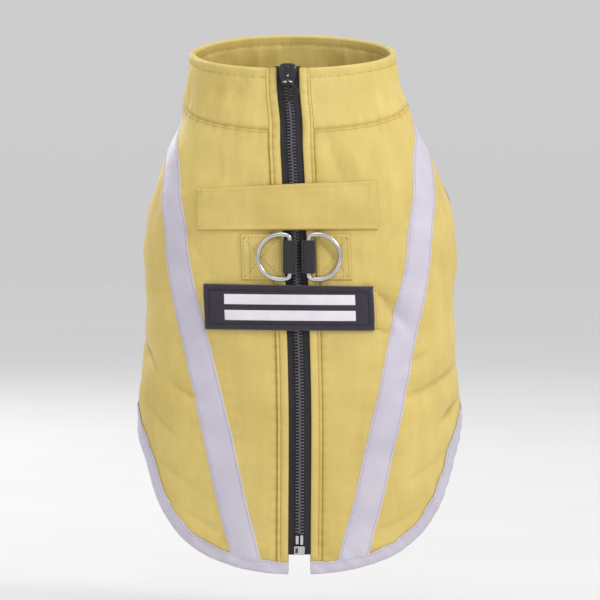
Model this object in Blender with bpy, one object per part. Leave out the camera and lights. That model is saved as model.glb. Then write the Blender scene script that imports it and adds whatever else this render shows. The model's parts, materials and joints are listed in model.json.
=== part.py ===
"""A dog's fleece-lined jacket, filled out and empty: neck up, zip and back towards -Y.

Every piece of cloth is a wall worked out from one sewing surface. A place on that
surface is an angle in degrees round from the zip (positive towards +X, 180 at the
middle of the chest) and a height in millimetres above the middle of the collar seam.
The walls stand inside and outside the surface, and what is sewn on stands further out.
"""

import math
from collections import namedtuple

import bmesh
import bpy
import numpy as np

MM = 0.001  # the tables below are in millimetres

# ---------------------------------------------------------------- the body's sections

Section = namedtuple("Section", "height half_width centre_x back_depth chest_depth")
SECTIONS = (
    Section(64, 83.5, -6.0, 44.0, 42.0),
    Section(42, 87.0, -6.0, 46.0, 45.0),
    Section(9, 93.0, -5.2, 50.0, 53.0),
    Section(-18, 100.0, -2.7, 54.0, 60.0),
    Section(-41, 111.0, -2.0, 57.5, 65.5),
    Section(-56, 117.6, -1.0, 59.5, 68.5),
    Section(-83, 127.4, 0.3, 62.0, 72.0),
    Section(-119, 131.6, 0.3, 64.0, 74.0),
    Section(-173, 133.0, -0.2, 65.0, 73.0),
    Section(-227, 136.0, -0.2, 64.5, 69.0),
    Section(-257, 138.0, 0.0, 63.5, 66.0),
    Section(-330, 138.0, 0.0, 60.5, 61.0),
    Section(-410, 137.5, 0.0, 57.0, 57.0),
)

# How far the middle of the back is turned round from the front plane, in degrees.
Twist = namedtuple("Twist", "height turn")
TWISTS = (
    Twist(60, -3.0), Twist(25, -3.0), Twist(-53, -2.6), Twist(-101, -2.3),
    Twist(-149, -1.3), Twist(-209, -0.4), Twist(-410, -0.2),
)

# Collar rim and collar seam are rings that dip towards the back.
RIM_LEVEL, RIM_DIP = 45.0, 16.0
SEAM_LEVEL, SEAM_DIP = 0.0, 24.6

# The hem: a deep round flap over the back, a shallow arch over the belly.
Hem = namedtuple("Hem", "angle height")
HEM = (
    Hem(0, -406.8), Hem(10, -405.8), Hem(28, -397.8), Hem(40, -387.0), Hem(53.5, -365.4),
    Hem(64, -340.2), Hem(73, -312.6), Hem(80, -293.4), Hem(88, -280.5), Hem(100, -268.5),
    Hem(128, -245.4), Hem(151, -225.5), Hem(171, -217.6), Hem(180, -217.2),
)

# The armhole's finished edge: angles swept towards back and chest from its middle.
ARMHOLE_ANGLE = 133.0
ARMHOLE_HEIGHT = -69.0
ARMHOLE_HALF_HEIGHT = 53.0
ARMHOLE_BACK_SWEEP, ARMHOLE_BACK_LEAN = 28.9, 0.25
ARMHOLE_CHEST_SWEEP, ARMHOLE_CHEST_LEAN = 24.7, 0.12
BACK_MM_PER_DEGREE, CHEST_MM_PER_DEGREE = 1.12, 2.1
SHOULDER_ANGLE = 134.0      # where the shoulder seam meets the collar
SIDE_SEAM_HEM_ANGLE = 121.0  # where the side seam meets the hem
SIDE_SEAM_BOW = 1.0          # degrees that the side seam bows towards the back

# ---------------------------------------------------------------- layers and gaps

SHELL = (0.25, 2.15)
LINING = (-1.75, -0.25)
WELT = (0.20, 2.75)
ZIP_TAPE = (0.20, 1.00)
ZIP_CHAIN = (1.45, 3.50)
ZIP_GUARD = (-3.40, -2.20)
STRIP = (3.20, 3.80)
COLLAR_INNER = (-2.95, -1.10)
SEAM_GAP = 0.6
BINDING_STANDOFF = 1.1
BINDING_WALL = 0.8
BINDING_WIDTH = 11.0
ARMHOLE_BINDING_WIDTH = 8.0
EDGE_INSET = 3.0             # how far the walls stop short of the bound hem
ARMHOLE_INSET = 3.6          # and of a bound armhole

# ---------------------------------------------------------------- zip sizes

TAPE_INNER, TAPE_OUTER = 0.25, 9.2
WELT_INNER, WELT_OUTER = 9.6, 18.6
PANEL_START = 19.3
CHAIN_HALF_WIDTH = 3.7
CHAIN_TOP, CHAIN_BOTTOM = 12.4, -380.5
TAPE_BOTTOM = -389.4
GUARD_HALF_WIDTH, GUARD_TOP, GUARD_BOTTOM = 11.0, 18.0, -385.5
END_BOX_HALF_WIDTH, END_BOX_TOP, END_BOX_BOTTOM = 5.0, -381.5, -389.0
END_BOX = (1.35, 4.6)

SLIDER_DEPTH = (1.35, 6.4)
SliderRow = namedtuple("SliderRow", "height half_width")
SLIDER_OUTLINE = (SliderRow(32.0, 5.6), SliderRow(30.0, 7.3), SliderRow(24.0, 7.6),
                  SliderRow(17.0, 5.9), SliderRow(13.2, 5.2))
BRIDGE_HEIGHT, BRIDGE_OUT, BRIDGE_HALF_SPAN, BRIDGE_RADIUS = 15.6, 9.4, 3.7, 0.9
PULL_EYE_RADIUS, PULL_EYE_WALL, PULL_LENGTH, PULL_THICKNESS = 1.4, 1.1, 18.5, 1.8
PULL_EYE_HALF_WIDTH, PULL_HALF_WIDTH, PULL_SKEW = 2.1, 4.2, 0.32

# ---------------------------------------------------------------- reflective strips

# The middle line of each reflective strip, from the collar seam down to the hem.
StripRow = namedtuple("StripRow", "height angle")
STRIP_LINE = (
    StripRow(14, 106.0), StripRow(-7, 105.5), StripRow(-19, 98.5), StripRow(-32, 86.0),
    StripRow(-51, 70.0), StripRow(-75, 61.0), StripRow(-101, 55.2), StripRow(-149, 50.0),
    StripRow(-173, 46.4), StripRow(-207, 41.2), StripRow(-284, 31.2), StripRow(-340, 25.6),
    StripRow(-394, 19.5), StripRow(-410, 18.0),
)
STRIP_HALF_WIDTH = 12.5

# ---------------------------------------------------------------- flat pieces on the back

# Straps and badge lie across the zip: distances round from the zip, and heights.
Band = namedtuple("Band", "name left right top_left top_right bottom_left bottom_right low high")
BANDS = (
    Band("handle_strap", -85, 72, -75.0, -67.5, -111.0, -110.3, 2.75, 5.20),
    Band("patch_strap", -76, 70, -158.8, -159.5, -194.0, -195.0, 2.70, 4.00),
    Band("patch", -80, 65.5, -156.2, -158.6, -195.6, -196.6, 4.45, 6.80),
)
BAND_LIFT, BAND_LIFT_REACH = 1.5, 24.0   # what crosses the zip rides up over it
BAND_COLUMNS, BAND_ROWS = 18, 2

Tab = namedtuple("Tab", "name left right")
TABS = (Tab("ring_tab_left", -46.5, -11.6), Tab("ring_tab_right", 16.9, 47.0))
TAB_TOP, TAB_BOTTOM, TAB_LAYER = -113.8, -153.0, (3.10, 4.40)

# ---------------------------------------------------------------- rings and their loops

# A ring is an oval wire cut straight by its bar. Half length runs along the bar.
RingShape = namedtuple("RingShape", "half_length reach bar_offset")
BACK_RING = RingShape(19.2, 19.2, 8.0)
CHEST_RING = RingShape(16.8, 25.0, 5.0)
WIRE_RADIUS = 2.0
CORNER_SHARPNESS = 30
BAR_STATIONS, BOW_STATIONS, WIRE_SIDES = 5, 25, 8
BACK_RING_HEIGHT, BACK_RING_OUT = -133.4, 7.5
BACK_RING_TIP_OUT = 7.6
LEFT_BAR, RIGHT_BAR = -4.9, 10.7       # round from the zip
CHEST_BAR_X, CHEST_BAR_HEIGHT, CHEST_BAR_OUT, CHEST_TIP_OUT = -3.3, -36.6, 7.2, 7.0
LOOP_HOLE, LOOP_HALF_WIDTH, LOOP_HALF_DEPTH = 2.36, 5.9, 3.5
BACK_LOOP_HALF_LENGTH, CHEST_LOOP_HALF_LENGTH = 13.7, 12.0

TRIANGLE_APEX_HEIGHT, TRIANGLE_BASE_HEIGHT = 6.5, -53.4
TRIANGLE_APEX_X, TRIANGLE_LEFT_X, TRIANGLE_RIGHT_X = -1.6, -30.5, 25.4
TRIANGLE = (2.65, 3.15)

# ---------------------------------------------------------------- the largest folds

# Troughs (rise below 0) and ridges along a line from one place to another.
Fold = namedtuple("Fold", "angle_a height_a angle_b height_b width rise")
FOLDS = (
    Fold(84, -229, 43, -252, 11, -2.6),
    Fold(84, -259, 60, -277, 11, -2.2),
    Fold(-86, -205, -62, -232, 11, -2.0),
    Fold(21, -225, 19, -330, 13, -1.8),
    Fold(-25, -230, -21, -350, 13, -1.8),
    Fold(58, -285, 40, -352, 18, 2.6),
    Fold(-60, -285, -42, -352, 18, 2.4),
    Fold(-42, -2, -30, 18, 10, -1.6),
    Fold(159, -6, 158, -50, 12, -2.8),
    Fold(199, -4, 205, -50, 12, -2.8),
    Fold(205, -156, 226, -178, 13, -2.4),
    Fold(180, -74, 181, -106, 12, -1.8),
    Fold(156, -150, 163, -180, 13, -2.2),
    Fold(150, -193, 190, -194, 15, 1.8),
)

ROWS_SHOULDER, ROWS_ARMHOLE, ROWS_SIDE = 2, 10, 7
EVENING_ROUNDS = 4           # how often a panel's inner places are evened out
PANEL_COLUMNS, CHEST_COLUMNS = 14, 15
HEM_STATIONS, ARMHOLE_STATIONS, COLLAR_STATIONS = 66, 32, 34
STRIP_ROWS, STRIP_COLUMNS, ZIP_ROWS = 34, 4, 22


class Curve:
    """A smooth curve through a table's rows, read at any place along it."""

    def __init__(self, places, values):
        order = np.argsort(places)
        self.places = np.asarray(places, float)[order]
        self.values = np.asarray(values, float)[order]
        self.slopes = np.gradient(self.values, self.places)

    def __call__(self, at):
        at = np.clip(at, self.places[0], self.places[-1])
        row = np.clip(np.searchsorted(self.places, at) - 1, 0, len(self.places) - 2)
        step = self.places[row + 1] - self.places[row]
        t = (at - self.places[row]) / step
        start = (1 + 2 * t) * (1 - t) ** 2 * self.values[row] + t * (1 - t) ** 2 * step * self.slopes[row]
        end = t * t * (3 - 2 * t) * self.values[row + 1] - t * t * (1 - t) * step * self.slopes[row + 1]
        return start + end


def column(table, place, value):
    """The curve of one column of a table against another."""
    return Curve([getattr(row, place) for row in table], [getattr(row, value) for row in table])


HALF_WIDTH = column(SECTIONS, "height", "half_width")
CENTRE_X = column(SECTIONS, "height", "centre_x")
BACK_DEPTH = column(SECTIONS, "height", "back_depth")
CHEST_DEPTH = column(SECTIONS, "height", "chest_depth")
TWIST = column(TWISTS, "height", "turn")
HEM_CURVE = column(HEM, "angle", "height")
STRIP_CURVE = column(STRIP_LINE, "height", "angle")
SLIDER_CURVE = column(SLIDER_OUTLINE, "height", "half_width")


# ---------------------------------------------------------------- the sewing surface

def bare_cloth(angle, height):
    """The sewing surface without its folds, in millimetres."""
    angle, height = np.broadcast_arrays(np.asarray(angle, float), np.asarray(height, float))
    turn = np.radians(angle + TWIST(height) * np.cos(np.radians(angle) / 2) ** 2)
    backness = (1 + np.cos(turn)) / 2
    depth = BACK_DEPTH(height) * backness + CHEST_DEPTH(height) * (1 - backness)
    x = CENTRE_X(height) + HALF_WIDTH(height) * np.sin(turn)
    return np.stack([x, -depth * np.cos(turn), height], -1)


def steps(angle, height):
    """How the bare surface moves for one degree round, and for one millimetre up."""
    round_step = bare_cloth(np.add(angle, 0.5), height) - bare_cloth(np.subtract(angle, 0.5), height)
    up_step = (bare_cloth(angle, np.add(height, 2.0)) - bare_cloth(angle, np.subtract(height, 2.0))) / 4
    return round_step, up_step


def unit(vectors):
    return vectors / np.linalg.norm(vectors, axis=-1, keepdims=True)


def outward(angle, height):
    round_step, up_step = steps(angle, height)
    return unit(np.cross(round_step, up_step))


def folds(angle, height):
    """How far the folds lift the cloth there, measured on a flat chart of the surface."""
    angle, height = np.broadcast_arrays(np.asarray(angle, float), np.asarray(height, float))
    lift = np.zeros(angle.shape)
    for fold in FOLDS:
        middle = ((fold.angle_a + fold.angle_b) / 2, (fold.height_a + fold.height_b) / 2)
        per_degree = np.linalg.norm(steps(*middle)[0])
        along = np.array([(fold.angle_b - fold.angle_a) * per_degree, fold.height_b - fold.height_a])
        turned = (angle - fold.angle_a + 180) % 360 - 180
        offset = np.stack([turned * per_degree, height - fold.height_a], -1)
        share = np.clip(offset @ along / (along @ along), 0, 1)
        distance = np.linalg.norm(offset - share[..., None] * along, axis=-1)
        lift += fold.rise * np.exp(-((distance / fold.width) ** 2)) * np.sin(math.pi * (0.12 + 0.76 * share))
    return lift


def cloth(angle, height, out=0.0):
    """A point that stands `out` millimetres outside the sewing surface."""
    lift = folds(angle, height) + out
    return bare_cloth(angle, height) + outward(angle, height) * lift[..., None]


def angle_at(distance, height, start=0.0):
    """The angle reached by going that many millimetres round the cloth from a starting angle."""
    sweep = start + math.copysign(1.0, distance) * np.arange(0, 141, 1.0)
    run = np.linalg.norm(np.diff(bare_cloth(sweep, height), axis=0), axis=1)
    return float(np.interp(abs(distance), np.concatenate([[0], np.cumsum(run)]), sweep))


def chest_angle(x, height):
    """The angle of the place on the chest that has that x."""
    return angle_at(float(CENTRE_X(height)) - x, height, 180.0)


def beside(angle, height, heading, distance):
    """The place that far to the left of a line with that heading (degrees, millimetres)."""
    round_step, up_step = steps(angle, height)
    line = heading[0] * round_step + heading[1] * up_step
    aside = unit(np.cross(np.cross(round_step, up_step), line)) * distance
    move = np.linalg.lstsq(np.column_stack([round_step, up_step]), aside, rcond=None)[0]
    return angle + move[0], height + move[1]


# ---------------------------------------------------------------- edges of the pieces

def rim_height(angle):
    return RIM_LEVEL - RIM_DIP * np.cos(np.radians(angle))


def seam_height(angle):
    return SEAM_LEVEL - SEAM_DIP * np.cos(np.radians(angle))


def hem_height(angle, inset=0.0):
    """The hem, or a line that runs inside it at that distance."""
    folded = np.abs((np.asarray(angle, float) + 180) % 360 - 180)
    slope = (HEM_CURVE(folded + 0.5) - HEM_CURVE(folded - 0.5))
    per_degree = np.linalg.norm(steps(folded, HEM_CURVE(folded))[0], axis=-1)
    return HEM_CURVE(folded) + inset * np.hypot(1, slope / per_degree)


def armhole(turn, out=0.0):
    """The armhole's edge at a turn in degrees: 0 at the top, 90 at the back, 180 below."""
    rise, sweep = math.cos(math.radians(turn)), math.sin(math.radians(turn))
    if sweep >= 0:
        reach = ARMHOLE_BACK_SWEEP + out / BACK_MM_PER_DEGREE
        angle = ARMHOLE_ANGLE - reach * sweep * (1 - ARMHOLE_BACK_LEAN * rise)
    else:
        reach = ARMHOLE_CHEST_SWEEP + out / CHEST_MM_PER_DEGREE
        angle = ARMHOLE_ANGLE - reach * sweep * (1 - ARMHOLE_CHEST_LEAN * rise)
    return angle, ARMHOLE_HEIGHT + (ARMHOLE_HALF_HEIGHT + out) * rise


def side_path(towards_back, inset):
    """Places down a panel's side: shoulder seam, armhole edge, side seam."""
    half_turn = 180 if towards_back else -180
    top_angle, top = armhole(0, inset)
    bottom_angle, bottom = armhole(180, inset)
    places = []
    for share in np.linspace(0, 1, ROWS_SHOULDER, endpoint=False):
        angle = SHOULDER_ANGLE + (top_angle - SHOULDER_ANGLE) * share
        start = seam_height(SHOULDER_ANGLE) - SEAM_GAP / 2
        places.append((angle, start + (top - start) * share))
    for turn in np.linspace(0, half_turn, ROWS_ARMHOLE, endpoint=False):
        places.append(armhole(turn, inset))
    for share in np.linspace(0, 1, ROWS_SIDE + 1):
        angle = bottom_angle + (SIDE_SEAM_HEM_ANGLE - bottom_angle) * share
        angle -= SIDE_SEAM_BOW * math.sin(math.pi * share)
        end = float(hem_height(SIDE_SEAM_HEM_ANGLE, EDGE_INSET))
        places.append((angle, bottom + (end - bottom) * share))
    gap = SEAM_GAP / 2 / BACK_MM_PER_DEGREE
    return [(angle + (-gap if towards_back else gap), height) for angle, height in places]


def panel_top(angle):
    return seam_height(angle) - SEAM_GAP / 2


def panel_bottom(angle):
    return hem_height(angle, EDGE_INSET)


def share_down(angle, height):
    """How far a place is down from the collar seam to the hem."""
    return (height - panel_top(angle)) / (panel_bottom(angle) - panel_top(angle))


def zip_side_path(distance, rows):
    """Places down a line beside the zip, at a fixed distance from it."""
    angle = angle_at(distance, -200)
    places = []
    for share in np.linspace(0, 1, rows + 1):
        height = float(panel_top(angle) + (panel_bottom(angle) - panel_top(angle)) * share)
        places.append((angle_at(distance, height), height))
    return places


def even_shares(start, end, columns, by_length, height=-170.0):
    """Column places between two angles, partly by even lengths and partly by even turns."""
    fine = np.linspace(start, end, 401)
    run = np.linalg.norm(np.diff(bare_cloth(fine, height), axis=0), axis=1)
    run = np.concatenate([[0], np.cumsum(run)]) / run.sum()
    shares = np.linspace(0, 1, columns + 1)
    return (1 - by_length) * shares + by_length * np.interp(shares, run, np.linspace(0, 1, 401))


def panel_places(near, far, columns, by_length):
    """A grid of places between two side paths, along the collar seam and the hem."""
    across = even_shares(near[-1][0], far[-1][0], columns, by_length)[None, :]
    near, far = np.array(near), np.array(far)
    near_share = share_down(near[:, 0], near[:, 1])[:, None]
    far_share = share_down(far[:, 0], far[:, 1])[:, None]
    angle = near[:, :1] * (1 - across) + far[:, :1] * across
    share = near_share * (1 - across) + far_share * across
    height = panel_top(angle) + (panel_bottom(angle) - panel_top(angle)) * share
    places = np.stack([angle, height], -1)
    for _ in range(EVENING_ROUNDS):
        inside = places[:-2, 1:-1] + places[2:, 1:-1] + places[1:-1, :-2] + places[1:-1, 2:]
        places[1:-1, 1:-1] = inside / 4
    return places


def mirrored(places, side):
    """The same places on the other side of the zip, for side -1."""
    return np.asarray(places) * np.array([side, 1])


# ---------------------------------------------------------------- building solids

def solid(name, points, faces, material):
    """One closed object from points in millimetres, its faces turned outwards."""
    mesh = bpy.data.meshes.new(name)
    mesh.from_pydata([tuple(point * MM) for point in points], [], faces)
    body = bmesh.new()
    body.from_mesh(mesh)
    bmesh.ops.recalc_face_normals(body, faces=body.faces)
    if body.calc_volume(signed=True) < 0:
        bmesh.ops.reverse_faces(body, faces=body.faces)
    body.to_mesh(mesh)
    body.free()
    mesh.shade_smooth()
    mesh.set_sharp_from_angle(angle=math.radians(40))
    made = bpy.data.objects.new(name, mesh)
    made.data.materials.append(material)
    bpy.context.scene.collection.objects.link(made)
    return made


def sheet(name, places, low, high, material):
    """A wall of cloth over a grid of places, from `low` to `high` outside the surface."""
    rows, columns = places.shape[:2]
    angle, height = places[..., 0], places[..., 1]
    low, high = np.broadcast_to(low, angle.shape), np.broadcast_to(high, angle.shape)
    points = np.concatenate([cloth(angle, height, high).reshape(-1, 3),
                             cloth(angle, height, low).reshape(-1, 3)])
    under = rows * columns
    faces, edge = [], [(0, c) for c in range(columns)]
    edge += [(r, columns - 1) for r in range(1, rows)]
    edge += [(rows - 1, c) for c in range(columns - 2, -1, -1)]
    edge += [(r, 0) for r in range(rows - 2, 0, -1)]
    bare = bare_cloth(angle, height)
    falling = np.linalg.norm(bare[:-1, :-1] - bare[1:, 1:], axis=-1)
    rising = np.linalg.norm(bare[1:, :-1] - bare[:-1, 1:], axis=-1)
    for r in range(rows - 1):
        for c in range(columns - 1):
            near, below = r * columns + c, (r + 1) * columns + c
            halves = ((near, below, below + 1), (near, below + 1, near + 1))
            if rising[r, c] < falling[r, c]:
                halves = ((near, below, near + 1), (below, below + 1, near + 1))
            for triangle in halves:
                faces.append(triangle)
                faces.append([under + i for i in reversed(triangle)])
    for (ra, ca), (rb, cb) in zip(edge, edge[1:] + edge[:1]):
        a, b = ra * columns + ca, rb * columns + cb
        faces.append([a, b, under + b, under + a])
    return solid(name, points, faces, material)


def loft(name, stations, closed, material):
    """A solid through sections of equal point counts, closed into a ring or capped."""
    stations = np.asarray(stations, float)
    count, around = stations.shape[:2]
    faces = []
    for i in range(count if closed else count - 1):
        j = (i + 1) % count
        for k in range(around):
            n = (k + 1) % around
            faces.append([i * around + k, i * around + n, j * around + n, j * around + k])
    if not closed:
        faces.append([k for k in range(around)])
        faces.append([(count - 1) * around + k for k in reversed(range(around))])
    return solid(name, stations.reshape(-1, 3), faces, material)


def colour(red, green, blue):
    """A screen colour from 0 to 255 as linear light."""
    linear = [((c / 255 + 0.055) / 1.055) ** 2.4 if c > 10 else c / 255 / 12.92 for c in (red, green, blue)]
    return (*linear, 1.0)


def finish(name, base, roughness, metallic=0.0):
    material = bpy.data.materials.new(name)
    material.use_nodes = True
    shader = material.node_tree.nodes["Principled BSDF"]
    shader.inputs["Base Color"].default_value = base
    shader.inputs["Roughness"].default_value = roughness
    shader.inputs["Metallic"].default_value = metallic
    return material


# ---------------------------------------------------------------- panels and lining

def build_walls(shell, fleece):
    """Back halves and chest of the shell, with the lining cut to match."""
    rows = ROWS_SHOULDER + ROWS_ARMHOLE + ROWS_SIDE
    back_side, chest_side = side_path(True, ARMHOLE_INSET), side_path(False, ARMHOLE_INSET)
    outer = panel_places(zip_side_path(PANEL_START, rows), back_side, PANEL_COLUMNS, 0.2)
    inner = np.concatenate([np.array(zip_side_path(WELT_INNER, rows))[:, None], outer], 1)
    for side, word in ((-1, "left"), (1, "right")):
        sheet(f"back_panel_{word}", mirrored(outer, side), *SHELL, shell)
        sheet(f"lining_{word}", mirrored(inner, side), *LINING, fleece)
    far_side = [(360 - angle, height) for angle, height in chest_side]
    chest = panel_places(chest_side, far_side, CHEST_COLUMNS, 0.5)
    sheet("chest_panel", chest, *SHELL, shell)
    sheet("lining_chest", chest, *LINING, fleece)


def build_collar(shell):
    """The stand collar: one strip folded over the rim, open at the zip and the seam."""
    stations = []
    outer_low, outer_high = SHELL
    inner_low, inner_high = COLLAR_INNER
    middle = (outer_high + inner_low) / 2
    heights = np.arange(-30, 61, 10)
    ends = Curve(heights, [angle_at(PANEL_START, height) for height in heights])
    for share in np.linspace(-1, 1, COLLAR_STATIONS + 1):
        angle = 180 + (180 - float(ends(0))) * share
        rim = float(rim_height(angle))
        foot = float(seam_height(angle)) + SEAM_GAP / 2
        half = (rim + foot) / 2
        section = [(foot, outer_high), (half, outer_high), (rim - 2.6, outer_high),
                   (rim - 0.7, middle + 1.6), (rim, middle), (rim - 0.7, middle - 1.6),
                   (rim - 2.6, inner_low), (half, inner_low), (foot, inner_low),
                   (foot, inner_high), (half, inner_high), (rim - 3.2, inner_high),
                   (rim - 2.4, middle),
                   (rim - 3.2, outer_low), (half, outer_low), (foot, outer_low)]
        stations.append([cloth(180 + (180 - float(ends(height))) * share, height, out)
                         for height, out in section])
    loft("collar", stations, False, shell)


def binding_section(edge, inward, width):
    """The U of a binding folded over a bound edge, as points across it."""
    outer, inner = SHELL[1] + BINDING_STANDOFF, LINING[0] - BINDING_STANDOFF
    top, bottom = outer + BINDING_WALL, inner - BINDING_WALL
    roll = BINDING_WALL
    middle = (top + bottom) / 2
    profile = [(width, top), (1.6, top), (0.0, middle + 1.9), (0.0, middle - 1.9), (1.6, bottom),
               (width, bottom), (width, inner), (roll + 0.9, inner), (roll + 0.2, middle),
               (roll + 0.9, outer), (width, outer)]
    return [cloth(*inward(edge, distance), out) for distance, out in profile]


def build_bindings(binding):
    """Binding strips round the hem, from zip edge to zip edge, and round each armhole."""
    def hem_inward(angle, distance):
        folded = min(angle, 360 - angle)
        heading = (1.0, float(HEM_CURVE(folded + 0.5) - HEM_CURVE(folded - 0.5)))
        place = beside(folded, float(HEM_CURVE(folded)), heading, distance)
        return place if angle <= 180 else (360 - place[0], place[1])

    first = angle_at(WELT_INNER, float(HEM_CURVE(4)))
    fine = np.linspace(first, 360 - first, 721)
    run = np.linalg.norm(np.diff(bare_cloth(fine, hem_height(fine)), axis=0), axis=1)
    places = np.interp(np.linspace(0, run.sum(), HEM_STATIONS + 1), np.concatenate([[0], np.cumsum(run)]), fine)
    stations = [binding_section(angle, hem_inward, BINDING_WIDTH) for angle in places]
    loft("hem_binding", stations, False, binding)

    def armhole_inward(turn, distance):
        return armhole(turn, distance)

    for side, word in ((-1, "left"), (1, "right")):
        def inward(turn, distance, side=side):
            angle, height = armhole_inward(turn, distance)
            return angle * side, height
        turns = np.linspace(0, 360, ARMHOLE_STATIONS, endpoint=False)
        turns = (turns + 180) % 360 - 180
        stations = [binding_section(turn, inward, ARMHOLE_BINDING_WIDTH) for turn in turns]
        loft(f"armhole_binding_{word}", stations, True, binding)


def build_strips(reflective):
    """The reflective tapes that run from the shoulder down beside the zip."""
    top = 13.5
    foot = hem_height(float(STRIP_CURVE(-390)), BINDING_WIDTH + 1.5)
    places = []
    fine = np.linspace(top, foot, 400)
    run = np.linalg.norm(np.diff(bare_cloth(STRIP_CURVE(fine), fine), axis=0), axis=1)
    run = np.concatenate([[0], np.cumsum(run)])
    for height in np.interp(np.linspace(0, run[-1], STRIP_ROWS + 1), run, fine):
        angle = float(STRIP_CURVE(height))
        heading = (float(STRIP_CURVE(height - 1) - STRIP_CURVE(height + 1)), -2.0)
        row = [beside(angle, height, heading, distance)
               for distance in np.linspace(-STRIP_HALF_WIDTH, STRIP_HALF_WIDTH, STRIP_COLUMNS + 1)]
        places.append([(a, min(h, float(panel_top(a)) - 0.6)) for a, h in row])
    places = np.array(places)
    places[-1, :, 1] = hem_height(places[-1, :, 0], BINDING_WIDTH + 1.5)
    for side, word in ((-1, "left"), (1, "right")):
        sheet(f"reflective_strip_{word}", mirrored(places, side), *STRIP, reflective)


# ---------------------------------------------------------------- the zip

def zip_places(inner, outer, top, bottom, rows, columns=1):
    """A grid of places beside the zip, between two distances from it."""
    places = []
    for height in np.linspace(top, bottom, rows + 1):
        places.append([(angle_at(distance, height), height)
                       for distance in np.linspace(inner, outer, columns + 1)])
    return np.array(places)


def build_zip(shell, tape, chrome):
    rim = float(rim_height(4))
    hem = float(hem_height(8, EDGE_INSET))
    for side, word in ((-1, "left"), (1, "right")):
        places = zip_places(WELT_INNER, WELT_OUTER, rim, hem, ZIP_ROWS)
        sheet(f"zip_welt_{word}", mirrored(places, side), *WELT, shell)
        places = zip_places(TAPE_INNER, TAPE_OUTER, rim, TAPE_BOTTOM, ZIP_ROWS)
        sheet(f"zip_tape_{word}", mirrored(places, side), *ZIP_TAPE, tape)
    chain = zip_places(-CHAIN_HALF_WIDTH, CHAIN_HALF_WIDTH, CHAIN_TOP, CHAIN_BOTTOM, ZIP_ROWS)
    sheet("zip_chain", chain, *ZIP_CHAIN, tape)
    guard = zip_places(-GUARD_HALF_WIDTH, GUARD_HALF_WIDTH, GUARD_TOP, GUARD_BOTTOM, ZIP_ROWS, 2)
    sheet("zip_guard", guard, *ZIP_GUARD, shell)
    end = zip_places(-END_BOX_HALF_WIDTH, END_BOX_HALF_WIDTH, END_BOX_TOP, END_BOX_BOTTOM, 1)
    sheet("zip_end_box", end, *END_BOX, chrome)


def zip_frame(height, out):
    """The point on the zip's middle line at that height, that far outside the surface."""
    return cloth(0.0, height, out)


def build_slider(tape):
    """The slider body at the top of the zip, with the bridge that carries the pull."""
    heights = np.linspace(SLIDER_OUTLINE[0].height, SLIDER_OUTLINE[-1].height, 9)
    stations = []
    for height in heights:
        half = float(SLIDER_CURVE(height))
        near, far = SLIDER_DEPTH
        profile = [(-half, near), (-half, far - 1.2), (-half + 1.4, far), (half - 1.4, far),
                   (half, far - 1.2), (half, near)]
        stations.append([zip_frame(height, out) + (across, 0, 0) for across, out in profile])
    slider = loft("zip_slider", stations, False, tape)
    axis = zip_frame(BRIDGE_HEIGHT, BRIDGE_OUT)
    base = zip_frame(BRIDGE_HEIGHT, SLIDER_DEPTH[1] - 1.2)
    rise = axis[1] - base[1]
    path = [(-1, 1.0), (-1, 0.35), (-0.8, 0.08), (-0.5, 0), (0, 0), (0.5, 0), (0.8, 0.08), (1, 0.35), (1, 1.0)]
    points = [axis + (across * BRIDGE_HALF_SPAN, -rise * drop, 0) for across, drop in path]
    bridge = loft("zip_bridge", wire_sections(points, (0, 0, 1), BRIDGE_RADIUS, closed=False), False, tape)
    bridge.hide_render = True
    bridge.display_type = "WIRE"
    join = slider.modifiers.new("bridge", "BOOLEAN")
    join.operation = "UNION"
    join.solver = "EXACT"
    join.object = bridge


def build_pull(tape):
    """The pull: an eye round the bridge and a tab that hangs down, a little askew."""
    axis = zip_frame(BRIDGE_HEIGHT, BRIDGE_OUT)
    outer_radius = PULL_EYE_RADIUS + PULL_EYE_WALL
    half_thickness = PULL_THICKNESS / 2
    stations = []
    for turn in np.radians(np.linspace(0, 360, 24, endpoint=False)):
        across, down = math.sin(turn), -math.cos(turn)
        hole = (PULL_EYE_RADIUS * across, PULL_EYE_RADIUS * down)
        rim = (outer_radius * across, outer_radius * down)
        reach = math.degrees(abs(math.atan2(across, -down)))
        if reach < 25:
            rim = (math.copysign(half_thickness, across) if reach > 1 else 0.0, -PULL_LENGTH)
        elif reach < 45:
            rim = (math.copysign(half_thickness + 0.2, across), -outer_radius - 1.5)
        section = []
        for (y, z), half in ((rim, None), (hole, PULL_EYE_HALF_WIDTH)):
            width = half or (PULL_HALF_WIDTH if z < -outer_radius - 2 else PULL_EYE_HALF_WIDTH)
            skew = PULL_SKEW * max(0.0, -z - outer_radius)
            pair = [axis + (skew - width, y, z), axis + (skew + width, y, z)]
            section += pair if half is None else pair[::-1]
        stations.append(section)
    pull = loft("zip_pull", stations, True, tape)
    move_origin(pull, axis)


# ---------------------------------------------------------------- straps, tabs and badge

def band_lift(distance):
    return BAND_LIFT * math.exp(-((distance / BAND_LIFT_REACH) ** 4))


def build_bands(shell, black):
    """The handle strap, and the badge on its strap, each crossing over the zip."""
    for band in BANDS:
        places, lift = [], []
        for row in np.linspace(0, 1, BAND_ROWS + 1):
            line = []
            for share in np.linspace(0, 1, BAND_COLUMNS + 1):
                distance = band.left + (band.right - band.left) * share
                top = band.top_left + (band.top_right - band.top_left) * share
                bottom = band.bottom_left + (band.bottom_right - band.bottom_left) * share
                height = top + (bottom - top) * row
                line.append((angle_at(distance, height), height))
                if row == 0:
                    lift.append(band_lift(distance))
            places.append(line)
        lift = np.array(lift)[None, :]
        material = black if band.name == "patch" else shell
        sheet(band.name, np.array(places), band.low + lift, band.high + lift, material)


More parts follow.
